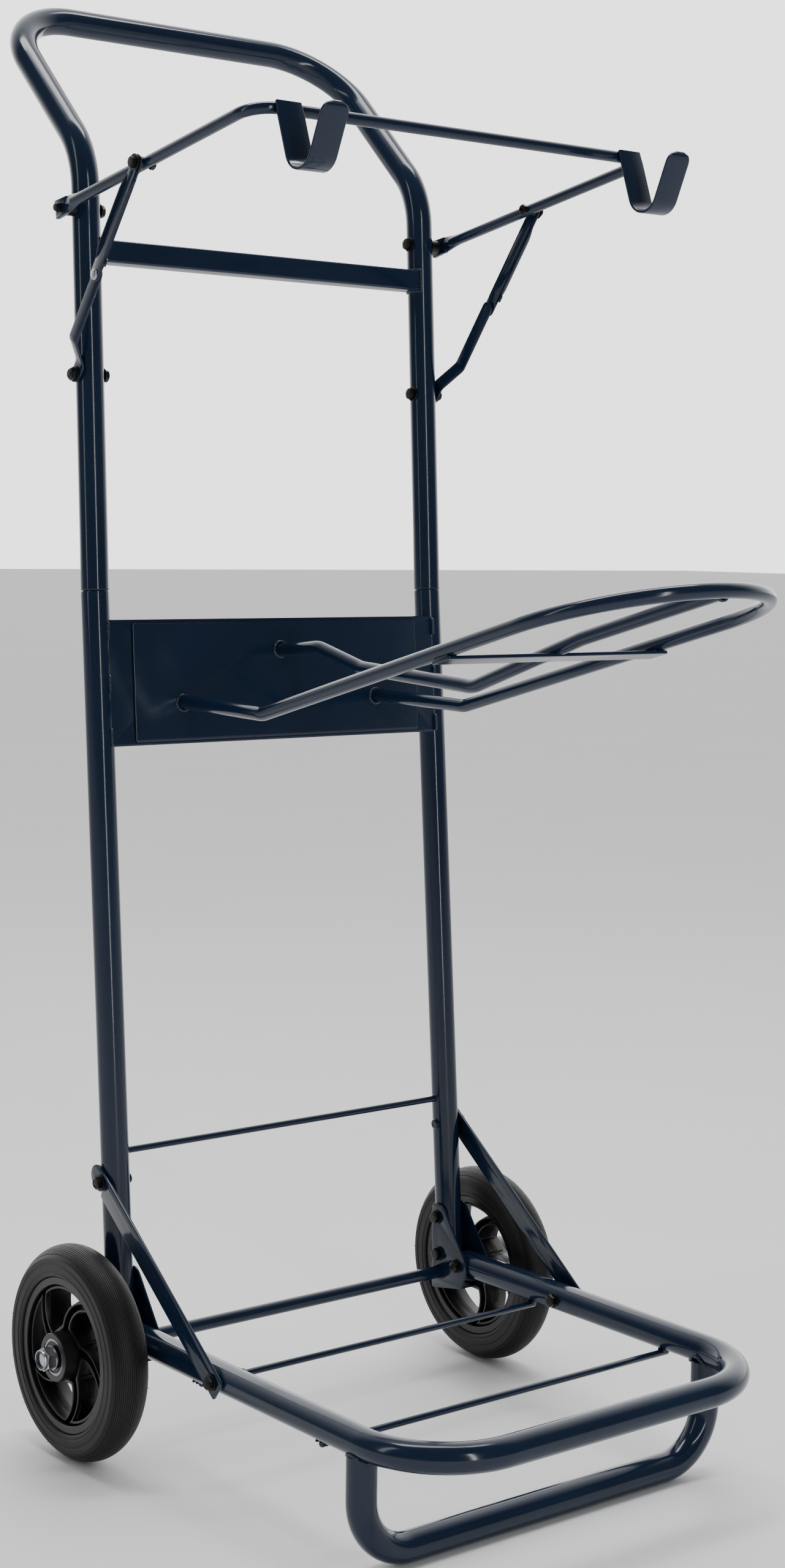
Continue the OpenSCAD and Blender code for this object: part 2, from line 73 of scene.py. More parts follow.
# heights and pivots as (y, z): base, link bolt, link stud, bridle pivot A, stay foot E, stay top B, stay knee D
BZ, HY = 106.5, 29.0
HINGE = (-HY, BZ)
LINKB = (-166.5, BZ)
STUD = (low_y(238), 238.0)
A = (up_y(1093.5), 1093.5)
E = (up_y(948.5), 948.5)
RISE = math.radians(10.5)
ARM = np.array([-math.cos(RISE), math.sin(RISE)])
B = tuple(np.array(A) + 136 * ARM)
FB = tuple(np.array(A) + 297.6 * ARM)
BX = 212.8
SD = np.array(B) - np.array(E)
SL = float(np.linalg.norm(SD))
SD = SD / SL
D = tuple(np.array(E) + 101.5 * SD)


# ---------------------------------------------------------------- materials
def new_mat(name):
    m = bpy.data.materials.new(name)
    m.use_nodes = True
    nt = m.node_tree
    return m, nt, nt.nodes["Principled BSDF"]


def node(nt, kind, **kw):
    n = nt.nodes.new(kind)
    for k, v in kw.items():
        setattr(n, k, v)
    return n


def noise(nt, coord, scale, detail=3.0, rough=0.5):
    n = node(nt, "ShaderNodeTexNoise")
    n.inputs["Scale"].default_value = scale
    n.inputs["Detail"].default_value = detail
    n.inputs["Roughness"].default_value = rough
    nt.links.new(coord, n.inputs["Vector"])
    return n.outputs["Fac"]


def ramp(nt, fac, a, b, lo, hi):
    n = node(nt, "ShaderNodeMapRange")
    for i, v in zip((1, 2, 3, 4), (a, b, lo, hi)):
        n.inputs[i].default_value = v
    nt.links.new(fac, n.inputs[0])
    return n.outputs[0]


def mix(nt, fac, c0, c1):
    n = node(nt, "ShaderNodeMix", data_type="RGBA")
    nt.links.new(fac, n.inputs[0])
    for i, c in ((6, c0), (7, c1)):
        if isinstance(c, tuple):
            n.inputs[i].default_value = (*c, 1)
        else:
            nt.links.new(c, n.inputs[i])
    return n.outputs[2]


def bump(nt, bsdf, parts):
    prev = None
    for height, strength, dist in parts:
        b = node(nt, "ShaderNodeBump")
        b.inputs["Strength"].default_value = strength
        b.inputs["Distance"].default_value = dist
        nt.links.new(height, b.inputs["Height"])
        if prev:
            nt.links.new(prev, b.inputs["Normal"])
        prev = b.outputs["Normal"]
    nt.links.new(prev, bsdf.inputs["Normal"])


def surface(name, base, dark, rough, metallic=0.0, grain=600.0, grain_s=0.12, dust=None,
            brushed=0.0, spec=0.5, speck_s=0.05):
    """A worn surface: two tones, fine grain and specks in the bump, and dust as (colour, amount)."""
    m, nt, p = new_mat(name)
    co = node(nt, "ShaderNodeTexCoord").outputs["Object"]
    big = noise(nt, co, 9.0, 3.0, 0.55)
    fine = noise(nt, co, grain, 2.0, 0.5)
    speck = noise(nt, co, 140.0, 6.0, 0.7)
    col = mix(nt, ramp(nt, big, 0.3, 0.7, 0.0, 1.0), dark, base)
    if dust:
        col = mix(nt, ramp(nt, speck, 0.62, 0.78, 0.0, dust[1]), col, dust[0])
    nt.links.new(col, p.inputs["Base Color"])
    nt.links.new(ramp(nt, big, 0.25, 0.75, rough[0], rough[1]), p.inputs["Roughness"])
    p.inputs["Metallic"].default_value = metallic
    p.inputs["Specular IOR Level"].default_value = spec
    parts = [(fine, grain_s, 0.0004), (speck, speck_s, 0.0004)]
    if brushed:
        mp = node(nt, "ShaderNodeMapping")
        mp.inputs["Scale"].default_value = (120.0, 2600.0, 2600.0)
        nt.links.new(co, mp.inputs["Vector"])
        parts.append((noise(nt, mp.outputs[0], 1.0, 3.0), brushed, 0.0003))
    bump(nt, p, parts)
    return m


PAINT = surface("look_paint_navy", (0.0068, 0.0170, 0.0410), (0.0054, 0.0138, 0.0340), (0.11, 0.18),
                grain=420.0, grain_s=0.014, dust=((0.03, 0.036, 0.05), 0.06), spec=0.38,
                speck_s=0.008)
WELD = surface("look_paint_weld", (0.0062, 0.0150, 0.0360), (0.0046, 0.0110, 0.0270), (0.18, 0.3),
               grain=900.0, grain_s=0.3, dust=((0.03, 0.033, 0.045), 0.12), spec=0.42)
BLACK = surface("look_bolt_black", (0.006, 0.006, 0.0065), (0.003, 0.003, 0.0035), (0.3, 0.46), metallic=0.3,
                grain=1500.0, grain_s=0.22, dust=((0.06, 0.056, 0.052), 0.2), spec=0.4)
ZINC = surface("look_zinc", (0.56, 0.57, 0.6), (0.36, 0.36, 0.38), (0.2, 0.36), metallic=1.0,
               grain=1800.0, grain_s=0.16, dust=((0.2, 0.19, 0.17), 0.3), brushed=0.12)
SHIELD = surface("look_bearing_shield", (0.05, 0.05, 0.053), (0.025, 0.025, 0.027), (0.25, 0.4), metallic=0.8,
                 grain=1800.0, grain_s=0.1, dust=((0.03, 0.03, 0.03), 0.3))
RACE = surface("look_bearing_race", (0.42, 0.43, 0.45), (0.26, 0.26, 0.28), (0.2, 0.34), metallic=1.0,
               grain=1800.0, grain_s=0.1, dust=((0.1, 0.1, 0.1), 0.3))
NYLON = surface("look_nylon_ring", (0.012, 0.02, 0.05), (0.008, 0.013, 0.035), (0.4, 0.55), grain=2200.0,
                grain_s=0.1)
RUBBER = surface("look_tyre_rubber", (0.0052, 0.0052, 0.0055), (0.0036, 0.0036, 0.0038), (0.42, 0.58),
                 grain=1600.0, grain_s=0.3, dust=((0.035, 0.032, 0.03), 0.14), spec=0.36)
PLASTIC = surface("look_hub_plastic", (0.0055, 0.0055, 0.006), (0.004, 0.004, 0.0044), (0.3, 0.44),
                  grain=2400.0, grain_s=0.25, dust=((0.035, 0.035, 0.034), 0.1), spec=0.42)


# ---------------------------------------------------------------- mesh tools
def obj_from(name, verts, faces, mat, body, sharp=32.0):
    """A smooth-shaded piece on a body, from verts in mm in the axle frame."""
    v = np.asarray(verts, float).copy()
    v[:, 1] += SY
    me = bpy.data.meshes.new(name)
    me.from_pydata((v / 1000.0).tolist(), [], [list(f) for f in faces])
    bm = bmesh.new()
    bm.from_mesh(me)
    bmesh.ops.remove_doubles(bm, verts=bm.verts, dist=1e-7)
    bmesh.ops.recalc_face_normals(bm, faces=bm.faces)
    bm.to_mesh(me)
    bm.free()
    me.polygons.foreach_set("use_smooth", [True] * len(me.polygons))
    me.set_sharp_from_angle(angle=math.radians(sharp))
    o = bpy.data.objects.new(name, me)
    bpy.context.scene.collection.objects.link(o)
    me.materials.append(mat)
    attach(o, body)
    return o


def fillet(points, radii, step=4.0):
    """Points of a polyline with round bends, fine enough for a smooth sweep."""
    p = [np.array(q, float) for q in points]
    out = [p[0]]
    for i in range(1, len(p) - 1):
        u = (p[i - 1] - p[i]) / np.linalg.norm(p[i - 1] - p[i])
        w = (p[i + 1] - p[i]) / np.linalg.norm(p[i + 1] - p[i])
        th = math.pi - math.acos(max(-1, min(1, float(u @ w))))
        if th < 1e-4 or radii[i] <= 0:
            out.append(p[i])
            continue
        t = radii[i] * math.tan(th / 2)
        c = p[i] + (u + w) / np.linalg.norm(u + w) * radii[i] / math.cos(th / 2)
        a = (p[i] + u * t - c) / radii[i]
        b = (p[i] + w * t - c) / radii[i]
        n = max(4, int(th * 180 / math.pi / step))
        for k in range(n + 1):
            f = k / n * th
            out.append(c + radii[i] * (a * math.sin(th - f) + b * math.sin(f)) / math.sin(th))
    out.append(p[-1])
    keep = [out[0]]
    for q in out[1:]:
        if np.linalg.norm(q - keep[-1]) > 1e-4:
            keep.append(q)
    return keep


def frames(pts, up, closed=False):
    n = len(pts)
    res = []
    nrm = np.array(up, float)
    for i in range(n):
        if closed:
            t = pts[(i + 1) % n] - pts[i - 1]
        else:
            t = pts[min(i + 1, n - 1)] - pts[max(i - 1, 0)]
        t = t / np.linalg.norm(t)
        nrm = nrm - t * (nrm @ t)
        nrm = nrm / np.linalg.norm(nrm)
        res.append((pts[i], nrm, np.cross(t, nrm)))
    return res


def sweep(pts, section, up, closed=False, scale=None, cap=True):
    """Verts and faces of a section carried along pts. section is (a, b) pairs in mm."""
    pts = [np.array(q, float) for q in pts]
    fr = frames(pts, up, closed)
    m = len(section)
    verts, faces = [], []
    for i, (c, n1, n2) in enumerate(fr):
        s = scale[i] if scale is not None else (1.0, 1.0)
        if not isinstance(s, tuple):
            s = (s, s)
        verts += [c + n1 * a * s[0] + n2 * b * s[1] for a, b in section]
    k = len(pts)
    for i in range(k if closed else k - 1):
        j = (i + 1) % k
        faces += [(i * m + q, i * m + (q + 1) % m, j * m + (q + 1) % m, j * m + q) for q in range(m)]
    if cap and not closed:
        faces.append(tuple(range(m))[::-1])
        faces.append(tuple((k - 1) * m + q for q in range(m)))
    return verts, faces


def ring(r, n=44):
    return [(r * math.cos(2 * math.pi * q / n), r * math.sin(2 * math.pi * q / n)) for q in range(n)]


def rod(points, radii, r, chamfer=0.6, step=4.0, n=44, up=(1, 0, 0), hollow=0.0, round_ends=False):
    """A round bar or open tube with softened end edges."""
    pts = fillet(points, radii, step)
    d0 = (pts[1] - pts[0]) / np.linalg.norm(pts[1] - pts[0])
    d1 = (pts[-1] - pts[-2]) / np.linalg.norm(pts[-1] - pts[-2])
    if round_ends:
        lead = [(r * (1 - math.cos(a)), math.sin(a)) for a in (0.12, 0.4, 0.75, 1.1, 1.4)]
        head = [(pts[0] + d0 * q, s) for q, s in lead]
        tail = [(pts[-1] - d1 * q, s) for q, s in reversed(lead)]
    else:
        c = chamfer
        head = [(pts[0], 1 - c / r), (pts[0] + d0 * c * 0.35, 1 - 0.35 * c / r), (pts[0] + d0 * c, 1.0)]
        tail = [(pts[-1] - d1 * c, 1.0), (pts[-1] - d1 * c * 0.35, 1 - 0.35 * c / r), (pts[-1], 1 - c / r)]
    path = head + [(q, 1.0) for q in pts[1:-1]] + tail
    # extra rings at the ends of long straights keep the smooth shading true
    full = [path[0]]
    for (p0, s0), (p1, s1) in zip(path, path[1:]):
        gap = np.linalg.norm(p1 - p0)
        if gap > 12 and s0 == s1 == 1.0:
            full += [(p0 + (p1 - p0) * q / gap, 1.0) for q in (0.6, 2.0, gap - 2.0, gap - 0.6)]
        full.append((p1, s1))
    path = full
    verts, faces = sweep([q for q, _ in path], ring(r, n), up, scale=[s for _, s in path], cap=not hollow)
    if hollow:
        k, m = len(path), n
        inner, f2 = sweep([q for q, _ in path], ring(hollow, n), up, cap=False)
        off = len(verts)
        verts += inner
        faces += [tuple(off + q for q in f[::-1]) for f in f2]
        for base in (0, (k - 1) * m):
            faces += [(base + q, base + (q + 1) % m, off + base + (q + 1) % m, off + base + q)
                      for q in range(m)]
    return verts, faces


def lathe(profile, place, seg=72, closed=True):
    """profile is (radius, height) pairs round a local Z, place maps local points to the axle frame."""
    verts, faces = [], []
    m = len(profile)
    for i in range(seg):
        a = 2 * math.pi * i / seg
        verts += [place(q * math.cos(a), q * math.sin(a), z) for q, z in profile]
    for i in range(seg):
        j = (i + 1) % seg
        for q in range(m if closed else m - 1):
            w = (q + 1) % m
            faces.append((i * m + q, j * m + q, j * m + w, i * m + w))
    if not closed:
        faces.append(tuple(i * m for i in range(seg)))
        faces.append(tuple(i * m + m - 1 for i in range(seg))[::-1])
    return verts, faces


def join(*vf):
    verts, faces = [], []
    for v, f in vf:
        off = len(verts)
        verts += list(v)
        faces += [tuple(off + q for q in g) for g in f]
    return verts, faces


def mirror(vf, s):
    v, f = vf
    return [(q[0] * s, q[1], q[2]) for q in v], f


def xaxis(x, y, z, s=1):
    """A local frame whose Z runs along s times X."""
    return lambda a, b, c: (x + s * c, y + b, z - s * a)


def slab(outlines, t, bevel, place):
    """A flat piece with rounded edges from closed outlines: the first is the edge, the others are holes."""
    cu = bpy.data.curves.new("tmp", "CURVE")
    cu.dimensions, cu.fill_mode = "2D", "BOTH"
    cu.extrude = t / 2 - bevel
    cu.bevel_depth, cu.bevel_resolution = bevel, 1
    cu.offset = -bevel
    for line in outlines:
        sp = cu.splines.new("POLY")
        sp.points.add(len(line) - 1)
        for q, (a, b) in zip(sp.points, line):
            q.co = (a, b, 0, 1)
        sp.use_cyclic_u = True
    ob = bpy.data.objects.new("tmp", cu)
    bpy.context.scene.collection.objects.link(ob)
    bpy.context.view_layer.update()
    me = bpy.data.meshes.new_from_object(ob)
    verts = [place(*v.co) for v in me.vertices]
    faces = [tuple(p.vertices) for p in me.polygons]
    bpy.data.objects.remove(ob)
    bpy.data.curves.remove(cu)
    bpy.data.meshes.remove(me)
    return verts, faces


def arc(cx, cy, r, a0, a1, n=24):
    return [(cx + r * math.cos(math.radians(a0 + (a1 - a0) * i / n)),
             cy + r * math.sin(math.radians(a0 + (a1 - a0) * i / n))) for i in range(n + 1)]


def circle(cx, cy, r, n=40):
    return arc(cx, cy, r, 0, 360, n)[:-1]


RIPPLE = 2.2


def bead(pts, w, closed=False, up=(0, 0, 1)):
    """A weld bead with the scale-like ripples of a hand-laid weld."""
    p = [np.array(q, float) for q in pts]
    if closed:
        p.append(p[0])
    seg = [np.linalg.norm(b - a) for a, b in zip(p, p[1:])]
    total = sum(seg)
    n = max(10, int(total / 0.45))
    cum = np.concatenate([[0], np.cumsum(seg)])
    out, sc = [], []
    ph = rng.random() * RIPPLE
    for i in range(n if closed else n + 1):
        s = total * i / n
        k = min(len(seg) - 1, int(np.searchsorted(cum, s, side="right") - 1))
        q = p[k] + (p[k + 1] - p[k]) * ((s - cum[k]) / max(seg[k], 1e-9))
        f = ((s + ph) / RIPPLE) % 1.0
        k2 = 0.86 + 0.22 * math.sqrt(max(0.0, 1 - f)) + 0.05 * math.sin(s * 0.9 + ph)
        if not closed:
            e = min(s, total - s)
            k2 *= min(1.0, 0.35 + e / (1.2 * w))
        out.append(q)
        sc.append(k2)
    return sweep(out, ring(w, 12), up, closed=closed, scale=sc)


def ring_bead(c, axis, r, w):
    """A weld bead round a bar that meets a surface."""
    axis = np.array(axis, float) / np.linalg.norm(axis)
    u = np.cross(axis, (1, 0, 0) if abs(axis[0]) < 0.9 else (0, 1, 0))
    u /= np.linalg.norm(u)
    v = np.cross(axis, u)
    pts = [np.array(c, float) + r * (u * math.cos(a) + v * math.sin(a)) for a in
           [2 * math.pi * i / 40 for i in range(40)]]
    return bead(pts, w, closed=True, up=axis)


def hexa(af, h, place, z0=0.0, hole=0.0):
    """A hexagon with the curved chamfers of a turned nut or bolt head."""
    n, lo = 72, af / 2
    hi = lo / math.cos(math.pi / 6)
    verts, faces = [], []
    for i in range(n):
        a = 2 * math.pi * i / n
        f = (a % (math.pi / 3)) - math.pi / 6
        rad = lo / math.cos(f)
        drop = 0.58 * (rad - lo * 0.985)
        rows = [(hole, z0), (lo * 0.95, z0), (rad, z0 + drop * 0.6), (rad, z0 + h - drop), (lo * 0.955, z0 + h),
                (hole, z0 + h)]
        verts += [place(q * math.cos(a), q * math.sin(a), z) for q, z in rows]
    m = 6
    for i in range(n):
        j = (i + 1) % n
        for q in range(m - 1):
            if hole == 0 and q in (0, m - 2):
                continue
            faces.append((i * m + q, j * m + q, j * m + q + 1, i * m + q + 1))
    if hole == 0:
        faces.append(tuple(i * m + 1 for i in range(n))[::-1])
        faces.append(tuple(i * m + m - 2 for i in range(n)))
    else:
        for i in range(n):
            j = (i + 1) % n
            faces.append((i * m + m - 1, j * m + m - 1, j * m, i * m))
    return verts, faces


def washer(ro, ri, t, place, z0=0.0):
    e = min(0.25, t / 3)
    return lathe([(ri, z0), (ro - e, z0), (ro, z0 + e), (ro, z0 + t - e), (ro - e, z0 + t), (ri, z0 + t)],
                 place, 56)


def thread(r, z0, z1, place, pitch=1.0, depth=0.55):
    """A threaded end, its last turn chamfered."""
    prof = []
    z = z0
    while z < z1 - pitch:
        prof += [(r - depth, z), (r, z + pitch * 0.42), (r, z + pitch * 0.58)]
        z += pitch
    prof += [(r - depth, z), (r - 0.15, z + 0.25), (r - 0.9, z1)]
    return lathe(prof, place, 36, closed=False)


def bolt(name, yz, x0, x1, body, s, outer=1.0):
    """An M6 bolt along X: head and washer inside x0, washer, nut and thread outside x1."""
    y, z = yz
    r, af, wr = 3.0, 10.0, 7.0
    turn = rng.random() * 1.0
    ca, sa = math.cos(turn), math.sin(turn)

    def spin(f):
        return lambda a, b, c: f(a * ca - b * sa, a * sa + b * ca, c)

    inn = spin(xaxis(x0, y, z, -1))
    out = spin(xaxis(x1, y, z, 1))
    parts = [
        washer(wr, r, 1.0, inn), hexa(af, 4.0, inn, 1.0),
        lathe([(af * 0.33, 5.0), (af * 0.33, 5.18), (af * 0.29, 5.3), (af * 0.27, 5.12)], inn, 40,
              closed=False),
        washer(wr * outer ** 2, r, 1.0, out), hexa(af * outer, 3.6, out, 1.0, r),
        thread(r, 0.0, 5.9, out, 1.0, 0.4),
        lathe([(r, -(x1 - x0)), (r, 0.0)], out, 36, closed=False),
    ]
    af *= outer
    parts.append(lathe([(af * 0.47, 4.5), (af * 0.47, 5.0), (af * 0.43, 5.4), (af * 0.38, 5.45),
                        (r, 5.2), (r, 4.5)], out, 48))
    return obj_from(name, *mirror(join(*parts), s), BLACK, body, sharp=28)


SIDES = (("right", 1), ("left", -1))

# ---------------------------------------------------------------- main frame
for side, s in SIDES:
    ends = [in_low(HX, 0, -9), in_low(HX, 0, JUP - 0.25)]
    o = obj_from("upright_tube_" + side, *mirror(rod(ends, [0, 0], R, 0.7, hollow=RI), s), PAINT, "frame")
    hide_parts("upright_" + side)
    ends = [in_low(HX, 0, JUP - 38), in_low(HX, 0, JUP + 2)]
    obj_from("plug_" + side, *mirror(rod(ends, [0, 0], RI - 0.1, 0.5), s), PAINT, "frame")
    # weld beads of the back plate
    beads = []
    for z0, z1 in ((528.5, 545), (575, 592), (622, 638.5)):
        edge = [in_low(HX - 4.6, -12.0, z0 + (z1 - z0) * i / 6) for i in range(7)]
        beads.append(mirror(bead(edge, 1.7), s))
    obj_from("plate_welds_" + side, *join(*beads), WELD, "frame")
    # rod welds
    c = in_low(HX - R + 0.6, 0, 169.2)
    obj_from("lower_rod_weld_" + side, *mirror(ring_bead(c, (1, 0, 0), 3.4, 1.1), s), WELD, "frame")
    # square bar welds follow the tube's surface
    loop = []
    h = 10.2
    corners = [(-h, -h), (h, -h), (h, h), (-h, h)]
    for q in range(4):
        (y0, z0), (y1, z1) = corners[q], corners[(q + 1) % 4]
        for i in range(8):
            y, z = y0 + (y1 - y0) * i / 8, z0 + (z1 - z0) * i / 8
            loop.append(in_up(HX - math.sqrt(R * R - y * y) - 0.2, y, 300 + z))
    obj_from("cross_bar_weld_" + side, *mirror(bead(loop, 1.5, closed=True, up=(0, 1, 0)), s), WELD, "frame")

ends = [in_low(-HX + R - 0.4, 0, 169.2), in_low(HX - R + 0.4, 0, 169.2)]
o = obj_from("lower_rod_bar", *rod(ends, [0, 0], 3.0, 0.2, up=(0, 1, 0), n=32), PAINT, "frame")
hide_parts("lower_rod")

UP_L, UP_R = 209 * math.sin(math.radians(42.8)), 386 + 209 * math.cos(math.radians(42.8))
pts = [in_up(-HX, 0, 0.15), in_up(-HX, 0, 386), in_up(-HX, UP_L, UP_R), in_up(HX, UP_L, UP_R),
       in_up(HX, 0, 386), in_up(HX, 0, 0.15)]
o = obj_from("upper_frame_tube", *rod(pts, [0, 80, 75, 75, 80, 0], R, 0.7, step=2.5, n=56, hollow=RI),
             PAINT, "frame")
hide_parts("upper_frame")


def rounded_rect(w, h, r, n=5):
    out = []
    for cx, cy, a in ((w / 2 - r, h / 2 - r, 0), (-w / 2 + r, h / 2 - r, 90), (-w / 2 + r, -h / 2 + r, 180),
                      (w / 2 - r, -h / 2 + r, 270)):
        out += arc(cx, cy, r, a, a + 90, n)
    return out


xs = np.linspace(-(HX - 8), HX - 8, 9)
v, f = sweep([in_up(x, 0, 300) for x in xs], rounded_rect(20, 20, 2.2),
             np.array(in_up(0, 1, 0)) - np.array(in_up(0, 0, 0)))
o = obj_from("cross_bar_tube", v, f, PAINT, "frame")
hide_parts("cross_bar")


def plate_box(x0, x1, y0, y1, z0, z1, rc, bevel=0.7):
    """A sheet plate lying in the lower frame's plane."""
    cx, cz = (x0 + x1) / 2, (z0 + z1) / 2
    line = rounded_rect(x1 - x0, z1 - z0, rc)
    return slab([line], y1 - y0, bevel, lambda a, b, c: in_low(cx + a, (y0 + y1) / 2 + c, cz + b))


# the top of the back plate along the lower uprights
PT = 640.2
slots = [[(sx * 90 + a, b - 50.4 + 56.25) for a, b in rounded_rect(32, 24, 2)] for sx in (-1, 1)]
line = rounded_rect(2 * (HX - 5), 112.5, 2.0)
v1 = slab([line] + slots, 3.0, 0.6, lambda a, b, c: in_low(a, -9.9 + c, PT - 56.25 + b))
v2 = plate_box(-(HX - 14), HX - 14, -9.9, -0.9, PT - 1.5, PT, 0.7, 0.4)
v3 = plate_box(-(HX - 14), HX - 14, -9.9, -0.9, PT - 112.5, PT - 111, 0.7, 0.4)
o = obj_from("back_plate_sheet", *join(v1, v2, v3), PAINT, "frame", sharp=40)
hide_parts("back_plate")

# the outline of a bracket's cheek, (y, z)
BR = [(10, 158), (7, 161), (-3, 161), (-8, 157), (-42, 111), (-43, 104), (-41, 97), (-37, 88), (-36, 85), (8, 77),
      (9, 84)]


def smooth_outline(pts, r=3.0):
    n = len(pts)
    out = []
    for i in range(n):
        a, b, c = (np.array(pts[(i + k) % n], float) for k in (-1, 0, 1))
        la, lc = np.linalg.norm(a - b), np.linalg.norm(c - b)
        t = min(r, la * 0.45, lc * 0.45)
        p0, p2 = b + (a - b) / la * t, b + (c - b) / lc * t
        out += [tuple((1 - q) ** 2 * p0 + 2 * q * (1 - q) * b + q * q * p2)
                for q in (0, 0.25, 0.5, 0.75, 1)]
    return out


for side, s in SIDES:
    parts = []
    holes = [circle(0, WR, 6.1), circle(*HINGE, 3.05)] + [circle(low_y(z), z, 3.05) for z in (148, 112)]
    for x in (HX - 13.9, HX + 13.9):
        parts.append(slab([smooth_outline(BR)] + [h[::-1] for h in holes], 2.0, 0.45,
                          lambda a, b, c, x=x: (x + c, a, b)))
    # folded web between the lower edges of the cheeks
    u = np.array([-44.0, 8.0]) / np.linalg.norm([44.0, 8.0])
    half, bend = 14.4, 1.5
    prof = [(-half, 2.2)] + [(-half + bend - bend * math.cos(a), bend - bend * math.sin(a)) for a in
                             np.linspace(0, math.pi / 2, 6)]
    prof += [(-q, w) for q, w in reversed(prof)]
    inner = [(q * (1 - 2.0 / half), max(w, 0) + (1.8 if w < 4 else 0)) for q, w in reversed(prof)]
    nrm = np.array([u[1], -u[0]])
    verts = []
    sec = prof + inner
    for t in (1.0, 43.5):
        base = np.array([8.0, 77.0]) + u * t
        verts += [(HX + q, base[0] + nrm[0] * w, base[1] + nrm[1] * w) for q, w in sec]
    k = len(sec)
    faces = [(q, (q + 1) % k, k + (q + 1) % k, k + q) for q in range(k)]
    faces += [tuple(range(k))[::-1], tuple(range(k, 2 * k))]
    parts.append((verts, faces))
    o = obj_from("bracket_sheet_" + side, *mirror(join(*parts), s), PAINT, "frame", sharp=38)
    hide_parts("bracket_" + side)
    o = bolt("bracket_bolt_top_" + side, (low_y(148), 148), HX - 14.9, HX + 14.9, "frame", s)
    bolt("bracket_bolt_low_" + side, (low_y(112), 112), HX - 14.9, HX + 14.9, "frame", s)
    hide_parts("bracket_bolts_" + side)
    o = bolt("hinge_bolt_" + side, HINGE, HX - 14.9, HX + 14.9, "frame", s)
    if s > 0:
        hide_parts("hinge_bolts")
    o = bolt("bridle_bolt_" + side, A, HX - R, BX + 1.9, "frame", s, outer=0.72)
    if s > 0:
        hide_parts("bridle_bolts")
    o = bolt("stay_foot_bolt_" + side, E, HX - R, HX + R + 3, "frame", s)
    if s > 0:
        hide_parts("stay_foot_bolts")
    pl = xaxis(HX, A[0], A[1], 1)
    prof = [(3.0, 12.2), (6.2, 12.2), (6.5, 12.6), (6.5, 21.4), (6.1, 21.9), (3.0, 21.9)]
    o = obj_from("bridle_spacer_" + side, *mirror(lathe(prof, pl, 56), s), BLACK, "frame")
    if s > 0:
        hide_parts("bridle_spacers")
    # stud for the link's hook
    out = xaxis(HX + R, STUD[0], STUD[1], 1)
    inn = xaxis(HX - R, STUD[0], STUD[1], -1)
    parts = [lathe([(3, -26), (3, 0.4), (5.2, 0.4), (5.2, 0.0), (3.0, 0.0), (3.0, 3.4)], out, 40, closed=False),
             washer(7.5, 3.0, 1.0, out, 3.6), hexa(10, 3.6, out, 4.6, 3.0),
             thread(3.0, 3.0, 9.0, out, 1.0, 0.4),
             lathe([(4.7, 8.2), (4.7, 8.5), (4.2, 8.9), (3.6, 8.95), (3.0, 8.7), (3.0, 8.2)], out, 44)]
    o = obj_from("link_stud_" + side, *mirror(join(*parts), s), BLACK, "frame", sharp=28)
    head = lathe([(4.9, -0.4), (4.9, 1.0), (4.3, 1.9), (3.2, 2.3), (2.9, 2.0), (1.2, 1.9), (0.3, 1.9)], inn, 44,
                 closed=False)
    obj_from("link_stud_head_" + side, *mirror(head, s), PAINT, "frame", sharp=28)
    if s > 0:
        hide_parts("link_studs")

# axle with its spacers, lock nuts and threaded ends
parts = []
for s in (1, -1):
    out = xaxis(0, 0, WR, s)
    parts.append(lathe([(6.0, HX + 14.9), (8.6, HX + 14.9), (9.0, HX + 15.3), (9.0, WX - 18.6), (8.5, WX - 18.1),
                        (6.0, WX - 18.1)], out, 56))
    parts.append(lathe([(6.0, HX + 14), (6.0, WX + 30.2)], out, 56, closed=False))
    parts.append(thread(5.98, WX + 30, WX + 36.4, out, 1.25, 0.6))
o = obj_from("axle_ends", *join(*parts), ZINC, "frame", sharp=30)
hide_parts("axle")
ends = [(-HX - 14.2, 0, WR), (HX + 14.2, 0, WR)]
o = obj_from("axle_bar", *rod(ends, [0, 0], 6.0, 0.4, n=40, up=(0, 1, 0)), PAINT, "frame")
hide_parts("axle")
nuts, rings = [], []
for s in (1, -1):
    out = xaxis(0, 0, WR, s)
    nuts += [washer(10.5, 6.0, 1.5, out, WX + 26.2), hexa(18.8, 8.0, out, WX + 27.7, 6.0),
             lathe([(8.9, WX + 35.6), (8.9, WX + 37.4), (8.5, WX + 38.4), (7.9, WX + 38.7), (7.6, WX + 38.3),
                    (7.6, WX + 35.6)], out, 64)]
    rings.append(lathe([(7.6, WX + 35.6), (7.6, WX + 37.9), (6.2, WX + 37.9), (6.0, WX + 37.2), (6.0, WX + 35.6)],
                       out, 56))
o = obj_from("axle_lock_nuts", *join(*nuts), ZINC, "frame", sharp=28)
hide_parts("axle_nuts")
obj_from("axle_nut_inserts", *join(*rings), NYLON, "frame")

# ---------------------------------------------------------------- wheels
SPOKES = 5


def swirl(q):
    """How far a spoke has turned at radius q, in degrees."""
    return 34.0 * max(0.0, (q - 22) / 38) ** 1.4


